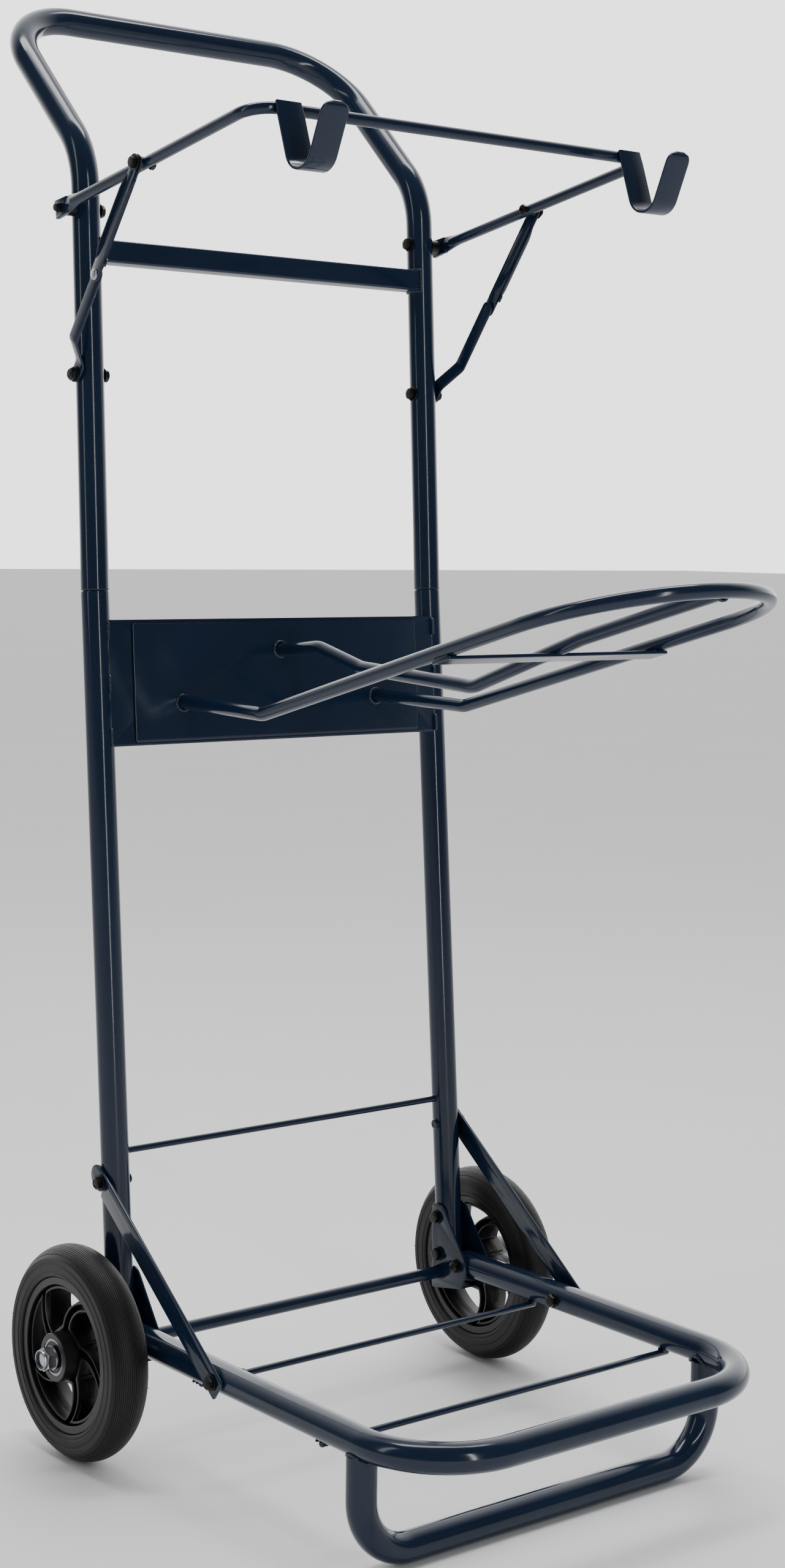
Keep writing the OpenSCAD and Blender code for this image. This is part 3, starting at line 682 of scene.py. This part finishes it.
def window(m):
    """The outline of a gap between two spokes, m mm smaller all round."""
    half, n, edge = 360 / SPOKES / 2, 14, 6
    ra, rb = 26 + m, 57 - m

    def ang(q, k):
        return swirl(q) + k * (half - (edge + m) / q * 57.3)

    out = []
    for i in range(n + 1):
        q = ra + (rb - ra) * i / n
        out.append((q, ang(q, -1)))
    a0, a1 = ang(rb, -1), ang(rb, 1)
    out += [(rb, a0 + (a1 - a0) * i / n) for i in range(1, n)]
    for i in range(n, -1, -1):
        q = ra + (rb - ra) * i / n
        out.append((q, ang(q, 1)))
    return smooth_outline([(q * math.cos(math.radians(a)), q * math.sin(math.radians(a))) for q, a in out],
                          2.5)


def turned(line, a):
    c, d = math.cos(math.radians(a)), math.sin(math.radians(a))
    return [(x * c - y * d, x * d + y * c) for x, y in line]


def tyre_profile():
    out = []
    for i in range(241):
        a = -57.0 + 114.0 * i / 240
        q = 22.0
        if abs(a) < 42:
            # fine mould grooves round the tread
            w = (abs(a) % 4.6) / 4.6
            q -= 0.42 if w < 0.26 else 0.0
        if abs(abs(a) - 46) < 0.9:
            q -= 0.5
        if abs(a) < 0.35:
            q += 0.12
        rr, zz = 72 + q * math.cos(math.radians(a)), q * math.sin(math.radians(a))
        if abs(zz) > 18.5:
            zz = math.copysign(18.5, zz)
        out.append((rr, zz))
    wall = [(80.4, 18.5), (80.0, 18.05), (78.2, 18.05), (77.8, 18.45), (73.2, 18.45), (72.6, 17.9), (71.4, 17.9),
            (70.8, 18.2), (69.4, 18.0), (68.4, 17.2), (68.02, 16.2)]
    out += wall
    out += [(q, -z) for q, z in reversed(wall)]
    return out


for side, s in SIDES:
    body = "wheel_" + side
    pl = (lambda s: lambda a, b, c: (s * (WX + c), b, WR - a))(s)
    v, f = lathe(tyre_profile(), pl, 144)
    # short mould vents left on the sidewall
    vents = []
    for i in range(26):
        a = 2 * math.pi * (i + rng.random() * 0.5) / 26
        sg = 1 if i % 2 else -1
        q = 83.5 + rng.random() * 2
        cx, cy = q * math.cos(a), q * math.sin(a)
        z0 = 17.6
        sec = ring(0.32, 6)
        stub = [(k, (k + 1) % 6, 6 + (k + 1) % 6, 6 + k) for k in range(6)] + [tuple(range(6, 12))]
        vents.append(([pl(cx + u, cy + w, sg * (z0 + h)) for h in (0, 1.0) for u, w in sec], stub))
    o = obj_from("tyre_body_" + side, v, f, RUBBER, body, sharp=24)
    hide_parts("tyre_" + side)
    obj_from("tyre_vents_" + side, *join(*vents), RUBBER, body)
    parts = [lathe([(61, -15.4), (61.6, -16), (67.2, -16), (68, -15.2), (68, 15.2), (67.2, 16), (61.6, 16),
                    (61, 15.4), (60.6, 4), (60.6, -4)], pl, 120),
             lathe([(16, -17.7), (20.4, -17.7), (21, -17.1), (21.6, 0), (21, 25.2), (20.4, 25.8), (16, 25.8)],
                   pl, 96),
             lathe([(9, -6.5), (16.1, -6.5), (16.1, 14.6), (9, 14.6)], pl, 72)]
    disc = circle(0, 0, 61.4, 120)
    wins = [turned(window(0), 72 * i) for i in range(SPOKES)]
    parts.append(slab([disc] + [w[::-1] for w in wins], 8.0, 0.6, pl))
    for i in range(SPOKES):
        outer, inn = turned(window(-2.6), 72 * i), turned(window(0), 72 * i)
        parts.append(slab([outer, inn[::-1]], 26.0, 0.7, pl))
    for i in range(2 * SPOKES):
        # curved blades along the middle of each spoke
        off = 36.0 + 72.0 * (i // 2) + (7.0 if i % 2 else -7.0)
        mid_line = [(q, math.radians(swirl(q) + off)) for q in np.linspace(24, 61, 14)]
        c0 = [(q * math.cos(a), q * math.sin(a)) for q, a in mid_line]
        nrm2 = []
        for k in range(len(c0)):
            d2 = np.array(c0[min(k + 1, 13)]) - np.array(c0[max(k - 1, 0)])
            d2 = d2 / np.linalg.norm(d2)
            nrm2.append((-d2[1] * 0.75, d2[0] * 0.75))
        band = [(a[0] + b[0], a[1] + b[1]) for a, b in zip(c0, nrm2)]
        band += [(a[0] - b[0], a[1] - b[1]) for a, b in reversed(list(zip(c0, nrm2)))]
        parts.append(slab([band], 20.0, 0.45, pl))
    for i in range(10):
        # short ribs from the boss into the web
        a = math.radians(36 * i + 18)
        c_, d_ = math.cos(a), math.sin(a)
        rib = [(20.5, -0.9), (25.5, -0.7), (25.5, 0.7), (20.5, 0.9)]
        parts.append(slab([[(x * c_ - y * d_, x * d_ + y * c_) for x, y in rib]], 17.0, 0.3, pl))
    o = obj_from("hub_body_" + side, *join(*parts), PLASTIC, body, sharp=34)
    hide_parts("hub_" + side)
    parts, seals = [], []
    for z0, k in ((-17.2, -1), (25.3, 1)):
        out = (lambda z0, k: lambda a, b, c: pl(a, b, z0 + k * c))(z0, k)
        parts += [lathe([(16, 0), (15.6, 0.0), (14.3, 0.0), (14.0, -0.3), (14.0, -10.4), (16, -10.4)], out, 72),
                  lathe([(8.5, -0.1), (8.3, 0.0), (6.5, 0.0), (6.1, -0.4), (6.1, -10.4), (8.5, -10.4)], out, 72)]
        seals.append(lathe([(14.1, -0.55), (13.6, -0.85), (11.6, -0.7), (11.2, -1.0), (9.2, -0.85), (8.8, -1.1),
                            (8.8, -2), (14.1, -2)], out, 72))
    o = obj_from("bearing_pair_" + side, *join(*parts), RACE, body, sharp=30)
    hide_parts("bearings_" + side)
    obj_from("bearing_shields_" + side, *join(*seals), SHIELD, body, sharp=30)

# ---------------------------------------------------------------- base
pts = [(-HX, -HY + 12.4, BZ), (-HX, -434, BZ), (HX, -434, BZ), (HX, -HY + 12.4, BZ)]
v, f = rod(pts, [0, 80, 80, 0], R, 0.7, step=2.5, n=56, up=(1, 0, 0))
for q in v:
    # the rear ends are rounded about their bolts, seen from the side
    if q[1] > -HY:
        lim = math.sqrt(max(0.0, R * R - (q[2] - BZ) ** 2))
        q[1] = min(q[1], -HY + lim)
o = obj_from("base_tube_bar", v, f, PAINT, "base", sharp=40)
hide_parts("base_tube", "base_tips")
for name, y, half in (("rod_rear", 126.5, 189.5), ("rod_front", 302.0, 192.5)):
    z = BZ - R - 3 + 0.3
    v, f = rod([(-half, -y, z), (half, -y, z)], [0, 0], 3.0, 0.4, n=32, up=(0, 1, 0), round_ends=True)
    o = obj_from(name + "_bar", v, f, PAINT, "base")
    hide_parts(name)
    w = []
    for s in (1, -1):
        for dy in (-2.7, 2.7):
            w.append(bead([(s * (HX - 6 + i * 1.5), -y + dy, z + 2.6) for i in range(9)], 1.3))
    obj_from(name + "_welds", *join(*w), WELD, "base")
st = 48
pts = [(-HX, -352, BZ - 9), (-HX, -352, R), (HX, -352, R), (HX, -352, BZ - 9)]
o = obj_from("stand_tube", *rod(pts, [0, st, st, 0], R, 0.5, step=3, n=48), PAINT, "base")
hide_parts("stand")
w = []
for s in (1, -1):
    loop = []
    for i in range(56):
        a = 2 * math.pi * i / 56
        # kept thin on the outside, where the folded link lies
        x = (R + 0.4 if math.cos(a) < 0 else R - 1.8) * math.cos(a)
        drop = math.sqrt(max(0.0, R * R - (x * 0.96) ** 2))
        loop.append((s * (HX + x * 0.995), -352 + (R + 0.6) * math.sin(a), BZ - drop - 0.6))
    w.append(bead(loop, 1.6, closed=True, up=(0, 0, 1)))
obj_from("stand_welds", *join(*w), WELD, "base")
for side, s in SIDES:
    o = bolt("link_bolt_" + side, LINKB, HX - R, HX + R + 3.6, "base", s)
    if s > 0:
        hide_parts("link_bolts")

# links: flat bars with a hooked head
LV = np.array(STUD) - np.array(LINKB)
LL = float(np.linalg.norm(LV))
LA = math.atan2(LV[1], LV[0])
HO = np.array(STUD) - np.array(HINGE)
SLIP = np.array([HO[1], -HO[0]]) + 1.59 * np.array([-LV[1], LV[0]])
SA = math.atan2(-SLIP[1], -SLIP[0]) - LA
link_line = arc(-9, 8.5, 1.5, 90, 180, 6) + arc(-9, -8.5, 1.5, 180, 270, 6)
g = 3.6
d, nn = np.array([math.cos(SA), math.sin(SA)]), np.array([-math.sin(SA), math.cos(SA)])


def edge_hit(off):
    # where a slot side at this offset leaves the link's lower edge
    k = (-10.0 - off * nn[1]) / d[1]
    return (LL + off * nn[0] + k * d[0], -10.0)


sgn = 1 if edge_hit(g)[0] > edge_hit(-g)[0] else -1
first, second = edge_hit(-g * sgn), edge_hit(g * sgn)
a_slot = math.degrees(SA)
link_line += [(first[0], first[1])]
start = a_slot - 90 * sgn
link_line += arc(LL, 0, g, start, start - 180 * sgn, 16)
link_line += [(second[0], second[1])] if second[0] < LL + 8 else [(LL + 8.0, -10.0)]
link_line += arc(LL + 8, 0, 10, -88, 90, 20)
hole = circle(0, 0, 3.15)


def at_link(a, b, c):
    ca, sa = math.cos(LA), math.sin(LA)
    return (HX + R + 0.5 + 1.25 + c, LINKB[0] + a * ca - b * sa, LINKB[1] + a * sa + b * ca)


for side, s in SIDES:
    v, f = slab([link_line, hole[::-1]], 2.5, 0.45, at_link)
    o = obj_from("link_bar_" + side, *mirror((v, f), s), PAINT, "link_" + side, sharp=40)
    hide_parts("link_" + side)

# ---------------------------------------------------------------- bridle bar
up3 = lambda x, p: (x, p[0], p[1])
start = np.array(A) + 20 * ARM
pts = [up3(-BX, start), up3(-BX, FB), up3(BX, FB), up3(BX, start)]
v, f = rod(pts, [0, 24, 24, 0], 5.0, 0.5, step=4, n=36, up=(1, 0, 0))
parts = [(v, f)]
for s in (1, -1):
    # the flattened end: round bar pressed to a 4 mm thick eye
    path, sc = [], []
    for t in np.linspace(0, 1, 12):
        q = np.array(A) + (34 - 26 * t) * ARM
        k = t * t * (3 - 2 * t)
        path.append(up3(s * BX, q))
        sc.append((1 - 0.6 * k, 1 + 0.56 * k))
    parts.append(sweep(path, ring(5.0, 36), (1, 0, 0), scale=sc))
    eye_hole = circle(A[0], A[1], 3.15, 32)
    side_v = np.array([ARM[1], -ARM[0]])
    tab = [tuple(np.array(A) + a * ARM + b * side_v)
           for a, b in ((-8.6, 8.4), (-8.6, -8.4), (12, -7.6), (12, 7.6))]
    tab = smooth_outline(tab, 1.3)
    parts.append(slab([tab, eye_hole[::-1]], 4.0, 0.6, lambda a, b, c, s=s: (s * BX + c, a, b)))
o = obj_from("bridle_bar_round", *join(*parts), PAINT, "bridle", sharp=40)
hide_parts("bridle_bar")

for side, s in SIDES:
    out, inn = xaxis(BX + 10.2, B[0], B[1], 1), xaxis(BX - 4.9, B[0], B[1], -1)
    parts = [lathe([(2.5, -19.7), (2.5, 0.0)], out, 32, closed=False), washer(7.2, 2.5, 1.0, out),
             hexa(8.6, 3.3, out, 1.0),
             hexa(8.6, 3.9, inn, 0.0, 2.5), thread(2.5, 0.0, 4.6, inn, 0.8, 0.35),
             lathe([(5.4, -8.2), (5.4, -4.0), (5.0, -3.6), (2.5, -3.6), (2.5, -8.2)], out, 40),
             lathe([(3.6, 4.3), (3.6, 4.42), (3.0, 4.5), (0.3, 4.4)], out, 32, closed=False)]
    o = obj_from("stay_top_bolt_" + side, *mirror(join(*parts), s), BLACK, "bridle", sharp=28)
    if s > 0:
        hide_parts("stay_top_bolts")

# hooks: flat strips bent to a J
HT = (FB[0] - 6.25, FB[1] + 5)
HM = np.array([FB[0] - 38, FB[1] - 34.5])
HP = np.array([FB[0] - 71, FB[1] - 2])


def touch(p, k):
    dd = np.array(p) - HM
    a, b = math.atan2(dd[1], dd[0]), math.acos(17 / np.linalg.norm(dd))
    return HM + 17 * np.array([math.cos(a + k * b), math.sin(a + k * b)])


t1, t2 = touch(HT, -1), touch(HP, 1)
a1 = math.degrees(math.atan2(*(t1 - HM)[::-1])) % 360
a2 = math.degrees(math.atan2(*(t2 - HM)[::-1])) % 360
mid = [HM + 17 * np.array([math.cos(math.radians(a)), math.sin(math.radians(a))])
       for a in np.linspace(a1, a2, 26)]
tip = [t2 + (HP - t2) * q for q in np.linspace(0, 1, 18)][1:]
hook_pts = [np.array(HT) + (t1 - np.array(HT)) * q for q in np.linspace(0, 1, 5)] + mid[1:] + tip
lens = np.concatenate([[0], np.cumsum([np.linalg.norm(b - a) for a, b in zip(hook_pts, hook_pts[1:])])])
cap_r = 9.5
sc = []
for q in lens:
    e = lens[-1] - q
    k = 1.0
    if e < cap_r:
        k = 1 - (cap_r - math.sqrt(max(0.0, cap_r ** 2 - (cap_r - e) ** 2))) / 13.25
    if q < 1.5:
        k = min(k, 0.93 + 0.07 * q / 1.5)
    sc.append((k, 1.0))
sec = rounded_rect(26.5, 2.5, 0.8, 3)
for side, s in SIDES:
    v, f = sweep([(185.0 * s, q[0], q[1]) for q in hook_pts], sec, (1, 0, 0), scale=sc)
    o = obj_from("hook_strip_" + side, v, f, PAINT, "bridle", sharp=38)
    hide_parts("hook_" + side)
    w = [bead([(s * (185 - 11 + 22 * i / 8), FB[0] - 3.9, FB[1] + dz) for i in range(9)], 1.4)
         for dz in (3.9, -4.0)]
    obj_from("hook_welds_" + side, *join(*w), WELD, "bridle")

# ---------------------------------------------------------------- folding stays
SX = BX + 6.9
SU = SL - 101.5
sa_ = math.atan2(SD[1], SD[0])


def along(p, a, b):
    return (p[0] + a * math.cos(sa_) - b * math.sin(sa_), p[1] + a * math.sin(sa_) + b * math.cos(sa_))


for side, s in SIDES:
    tab = [(21.0, 7.0), (20.4, 9.6), (13.6, 9.6), (13.0, 7.0)]
    line = arc(0, 0, 7, 90, 270, 20) + arc(SU, 0, 7, -90, 90, 20) + tab
    parts = [slab([line, circle(SU, 0, 2.65, 28)[::-1]], 1.6, 0.35,
                  lambda a, b, c: (SX + 0.8 + c, *along(D, a, b)))]
    for k in (1, -1):
        # folded stiffening edge
        sec = [(0, -0.6), (3.6, -0.6), (4.2, -0.2), (4.2, 0.3), (3.6, 0.6), (0, 0.6)]
        n, pts, sc = 16, [], []
        for i in range(n + 1):
            a = 10 + (SU - 22) * i / n
            e = min(i, n - i) / 2.5
            pts.append((SX, *along(D, a, k * 6.4)))
            sc.append((min(1.0, 0.25 + 0.75 * e), 1.0))
        parts.append(sweep(pts, sec, (1, 0, 0), scale=sc))
    o = obj_from("stay_upper_strip_" + side, *mirror(join(*parts), s), PAINT, "stay_upper_" + side, sharp=38)
    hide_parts("upper_stay_" + side)
    out = xaxis(SX + 1.6, D[0], D[1], 1)
    rv = lathe([(4.9, 0.0), (4.9, 0.4), (4.3, 1.0), (2.8, 1.4), (0.9, 1.42), (0.6, 1.1), (0.2, 1.0)], out, 40,
               closed=False)
    o = obj_from("stay_rivet_" + side, *mirror(rv, s), ZINC, "stay_upper_" + side)
    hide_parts("rivet_" + side)
    # lower strip, cranked outwards past the arm
    path = [(HX + R + 1.5, 0.0), (HX + R + 1.5, 11.5), (SX - 1.5, 34.5), (SX - 1.5, 101.5)]
    pts = fillet([(x, *along(E, a, 0)) for x, a in path], [0, 8, 8, 0], 5)
    pts = [pts[0] + (pts[1] - pts[0]) * q for q in (0.0, 0.35, 0.7)] + pts[1:-1] + \
          [pts[-2] + (pts[-1] - pts[-2]) * q for q in (0.3, 0.6, 1.0)]
    sd3 = np.array([0, SD[0], SD[1]])
    strip_pts, sc = [], []
    for a in (-7.0, -6.6, -5.6, -4.0, -2.0):
        strip_pts.append(pts[0] + sd3 * a)
        sc.append((1.0, max(0.05, math.sqrt(max(0.0, 1 - (a / 7.0) ** 2)))))
    strip_pts += pts
    sc += [(1.0, 1.0)] * len(pts)
    for a in (2.0, 4.0, 5.6, 6.6, 7.0):
        strip_pts.append(pts[-1] + sd3 * a)
        sc.append((1.0, max(0.05, math.sqrt(max(0.0, 1 - (a / 7.0) ** 2)))))
    v, f = sweep(strip_pts, rounded_rect(1.8, 14, 0.5, 3), (1, 0, 0), scale=sc)
    o = obj_from("stay_lower_strip_" + side, *mirror((v, f), s), PAINT, "stay_lower_" + side, sharp=38)
    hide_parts("lower_stay_" + side)

# ---------------------------------------------------------------- saddle rack
# FF: the plate's front face. RR: the bars' radius. RS: the way the rack rises. EL: the loop's low bend.
FF = 14.8
v1 = plate_box(-160, 160, -FF, -FF + 3, PT - 3.5 - 106, PT - 3.5, 2.5, 0.7)
tabs = []
for sx in (-1, 1):
    tabs.append(plate_box(sx * 90 - 13, sx * 90 + 13, -FF + 1, -FF + 9.2, PT - 62, PT - 55, 1.0, 0.5))
    tabs.append(plate_box(sx * 90 - 13, sx * 90 + 13, -FF + 7.2, -FF + 9.7, PT - 71, PT - 55, 1.5, 0.5))
o = obj_from("rack_plate_sheet", *join(v1, *tabs), PAINT, "rack", sharp=40)
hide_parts("rack_plate")

RR = 6.2
RS = np.array([0, -math.cos(math.radians(15)), math.sin(math.radians(15))])
EL = np.array([113.0, -101.0, 656.2])
NO = EL + (343.5 + 113.0) * RS
mx = np.array([-1, 1, 1])
root = np.array([109.6, 28.6, 659.0])
pts = [root * mx, EL * mx, NO * mx, NO, EL, root]
o = obj_from("rack_loop_bar", *rod(pts, [0, 30, 112.95, 112.95, 30, 0], RR, 0.4, step=3, n=40), PAINT, "rack")
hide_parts("rack_loop")
ctr = [(0, 32.0, 703.0), (0, -28, 708.5), (0, -92, 693), (0, -247, 685), np.array([0, -101, 656.2]) + 291 * RS,
       np.array([0, -101, 656.2]) + (343.5 + 113 - 5) * RS]
o = obj_from("rack_centre_bar", *rod(ctr, [0, 30, 40, 40, 60, 0], RR, 0.4, step=4, n=40), PAINT, "rack")
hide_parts("rack_bar")
c = np.array([0, -101, 656.2]) + 254 * RS
sp_n = np.array([0, math.sin(math.radians(15)), math.cos(math.radians(15))])
line = rounded_rect(2 * (113 + 6.2), 22, 2.0)
v, f = slab([line], 3.0, 0.6, lambda a, b, q: tuple(c + np.array([a, 0, 0]) + RS * b + sp_n * (q - 7.5)))
o = obj_from("rack_cross_strip", v, f, PAINT, "rack", sharp=38)
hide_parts("rack_strip")
w = []
for x in (-113.0, 113.0):
    for dx in (-4.0, 4.0):
        w.append(bead([tuple(c + np.array([x + dx, 0, 0]) + RS * (-9 + 18 * i / 8) + sp_n * -5.6)
                       for i in range(9)], 1.3, up=(1, 0, 0)))
for k in (1, -1):
    w.append(bead([tuple(c + np.array([-5 + 10 * i / 6, 0, 0]) + RS * 10.6 * k + sp_n * -5.9)
                   for i in range(7)], 1.3))
n_low = np.array(in_low(0, -1, 0)) - np.array(in_low(0, 0, 0))


def at_plate(x, z):
    # the point of the plate's front face at height z
    k = (z - WR - FF * math.sin(T45)) / math.cos(T45)
    return np.array(in_low(x, -FF, k))


for x, z in ((-109.2, 659.0), (109.2, 659.0), (0.0, 705.3)):
    q = at_plate(x, z - 1.2)
    w.append(ring_bead(q - n_low * 0.2, n_low, RR + 0.7, 1.7))
# the centre bar meets the loop's nose
w.append(bead([tuple(NO * np.array([0, 1, 1]) + np.array([6.6 * math.cos(a), 0, 0]) + sp_n * 6.4 * math.sin(a)
                     - RS * (6.3 - 0.5 * abs(math.sin(a))))
               for a in np.linspace(0, 2 * math.pi, 33)[:-1]], 1.5, closed=True, up=(0, 1, 0)))
obj_from("rack_welds", *join(*w), WELD, "rack")

# ---------------------------------------------------------------- floor, light, camera
me = bpy.data.meshes.new("floor")
FLOOR = 40
me.from_pydata([(x * FLOOR, y * FLOOR, 0) for x, y in ((-1, -1), (1, -1), (1, 1), (-1, 1))], [], [(0, 1, 2, 3)])
floor = bpy.data.objects.new("floor", me)
bpy.context.scene.collection.objects.link(floor)
m, nt, p = new_mat("floor_pale")
co = node(nt, "ShaderNodeTexCoord").outputs["Object"]
patchy = ramp(nt, noise(nt, co, 2.0), 0.35, 0.65, 0, 1)
nt.links.new(mix(nt, patchy, (0.86, 0.86, 0.86), (0.88, 0.88, 0.88)), p.inputs["Base Color"])
p.inputs["Roughness"].default_value = 0.75
me.materials.append(m)

# a bright backdrop behind the object, dim elsewhere
world = bpy.data.worlds.new("studio")
bpy.context.scene.world = world
world.use_nodes = True
wt = world.node_tree
bg = wt.nodes["Background"]
wc = wt.nodes.new("ShaderNodeTexCoord")
dot = wt.nodes.new("ShaderNodeVectorMath")
dot.operation = "DOT_PRODUCT"
dot.inputs[1].default_value = (0.62, 0.76, 0.18)
wt.links.new(wc.outputs["Generated"], dot.inputs[0])
wr_ = wt.nodes.new("ShaderNodeMapRange")
for i, q in zip((1, 2, 3, 4), (0.2, 0.8, 0.15, 2.5)):
    wr_.inputs[i].default_value = q
wt.links.new(dot.outputs["Value"], wr_.inputs[0])
wt.links.new(wr_.outputs[0], bg.inputs["Strength"])
bg.inputs["Color"].default_value = (1, 1, 1, 1)


def area(name, loc, to, sx, sy, power):
    li = bpy.data.lights.new(name, "AREA")
    li.shape, li.size, li.size_y, li.energy = "RECTANGLE", sx, sy, power
    ob = bpy.data.objects.new(name, li)
    ob.location = loc
    ob.rotation_euler = (Vector(to) - Vector(loc)).to_track_quat("-Z", "Y").to_euler()
    bpy.context.scene.collection.objects.link(ob)
    return ob


area("key", (-3.0, 0.4, 2.0), (0, 0, 0.6), 0.3, 2.6, 13)
area("fill", (-0.65, -3.4, 1.5), (0, 0, 0.7), 0.2, 2.8, 34)
area("top", (0.2, 0.4, 3.4), (0, 0, 0.3), 2.6, 0.6, 62)

# the camera that was fitted to the photograph's perspective
FOCAL_PX, IMAGE_H = 4133.9, 2560
yaw, pitch, roll = math.radians(39.382), math.radians(3.594), math.radians(-0.863)
F = np.array([math.sin(yaw) * math.cos(pitch), math.cos(yaw) * math.cos(pitch), -math.sin(pitch)])
R0 = np.array([math.cos(yaw), -math.sin(yaw), 0])
D0 = np.cross(F, R0)
RV = math.cos(roll) * R0 + math.sin(roll) * D0
DV = -math.sin(roll) * R0 + math.cos(roll) * D0
cam = bpy.data.cameras.new("photo_camera")
cam.sensor_fit, cam.sensor_height, cam.sensor_width = "VERTICAL", 36, 36
cam.lens = FOCAL_PX * 36 / IMAGE_H
cam.shift_x, cam.shift_y = -0.0345, -0.0595
cam.dof.use_dof = False
co = bpy.data.objects.new("photo_camera", cam)
mw = Matrix.Identity(4)
for i, a in enumerate((RV, -DV, -F)):
    for j in range(3):
        mw[j][i] = float(a[j])
mw[0][3], mw[1][3], mw[2][3] = -1.3692, (-1880.1 + SY) / 1000, 0.8152
co.matrix_world = mw
bpy.context.scene.collection.objects.link(co)
bpy.context.scene.camera = co
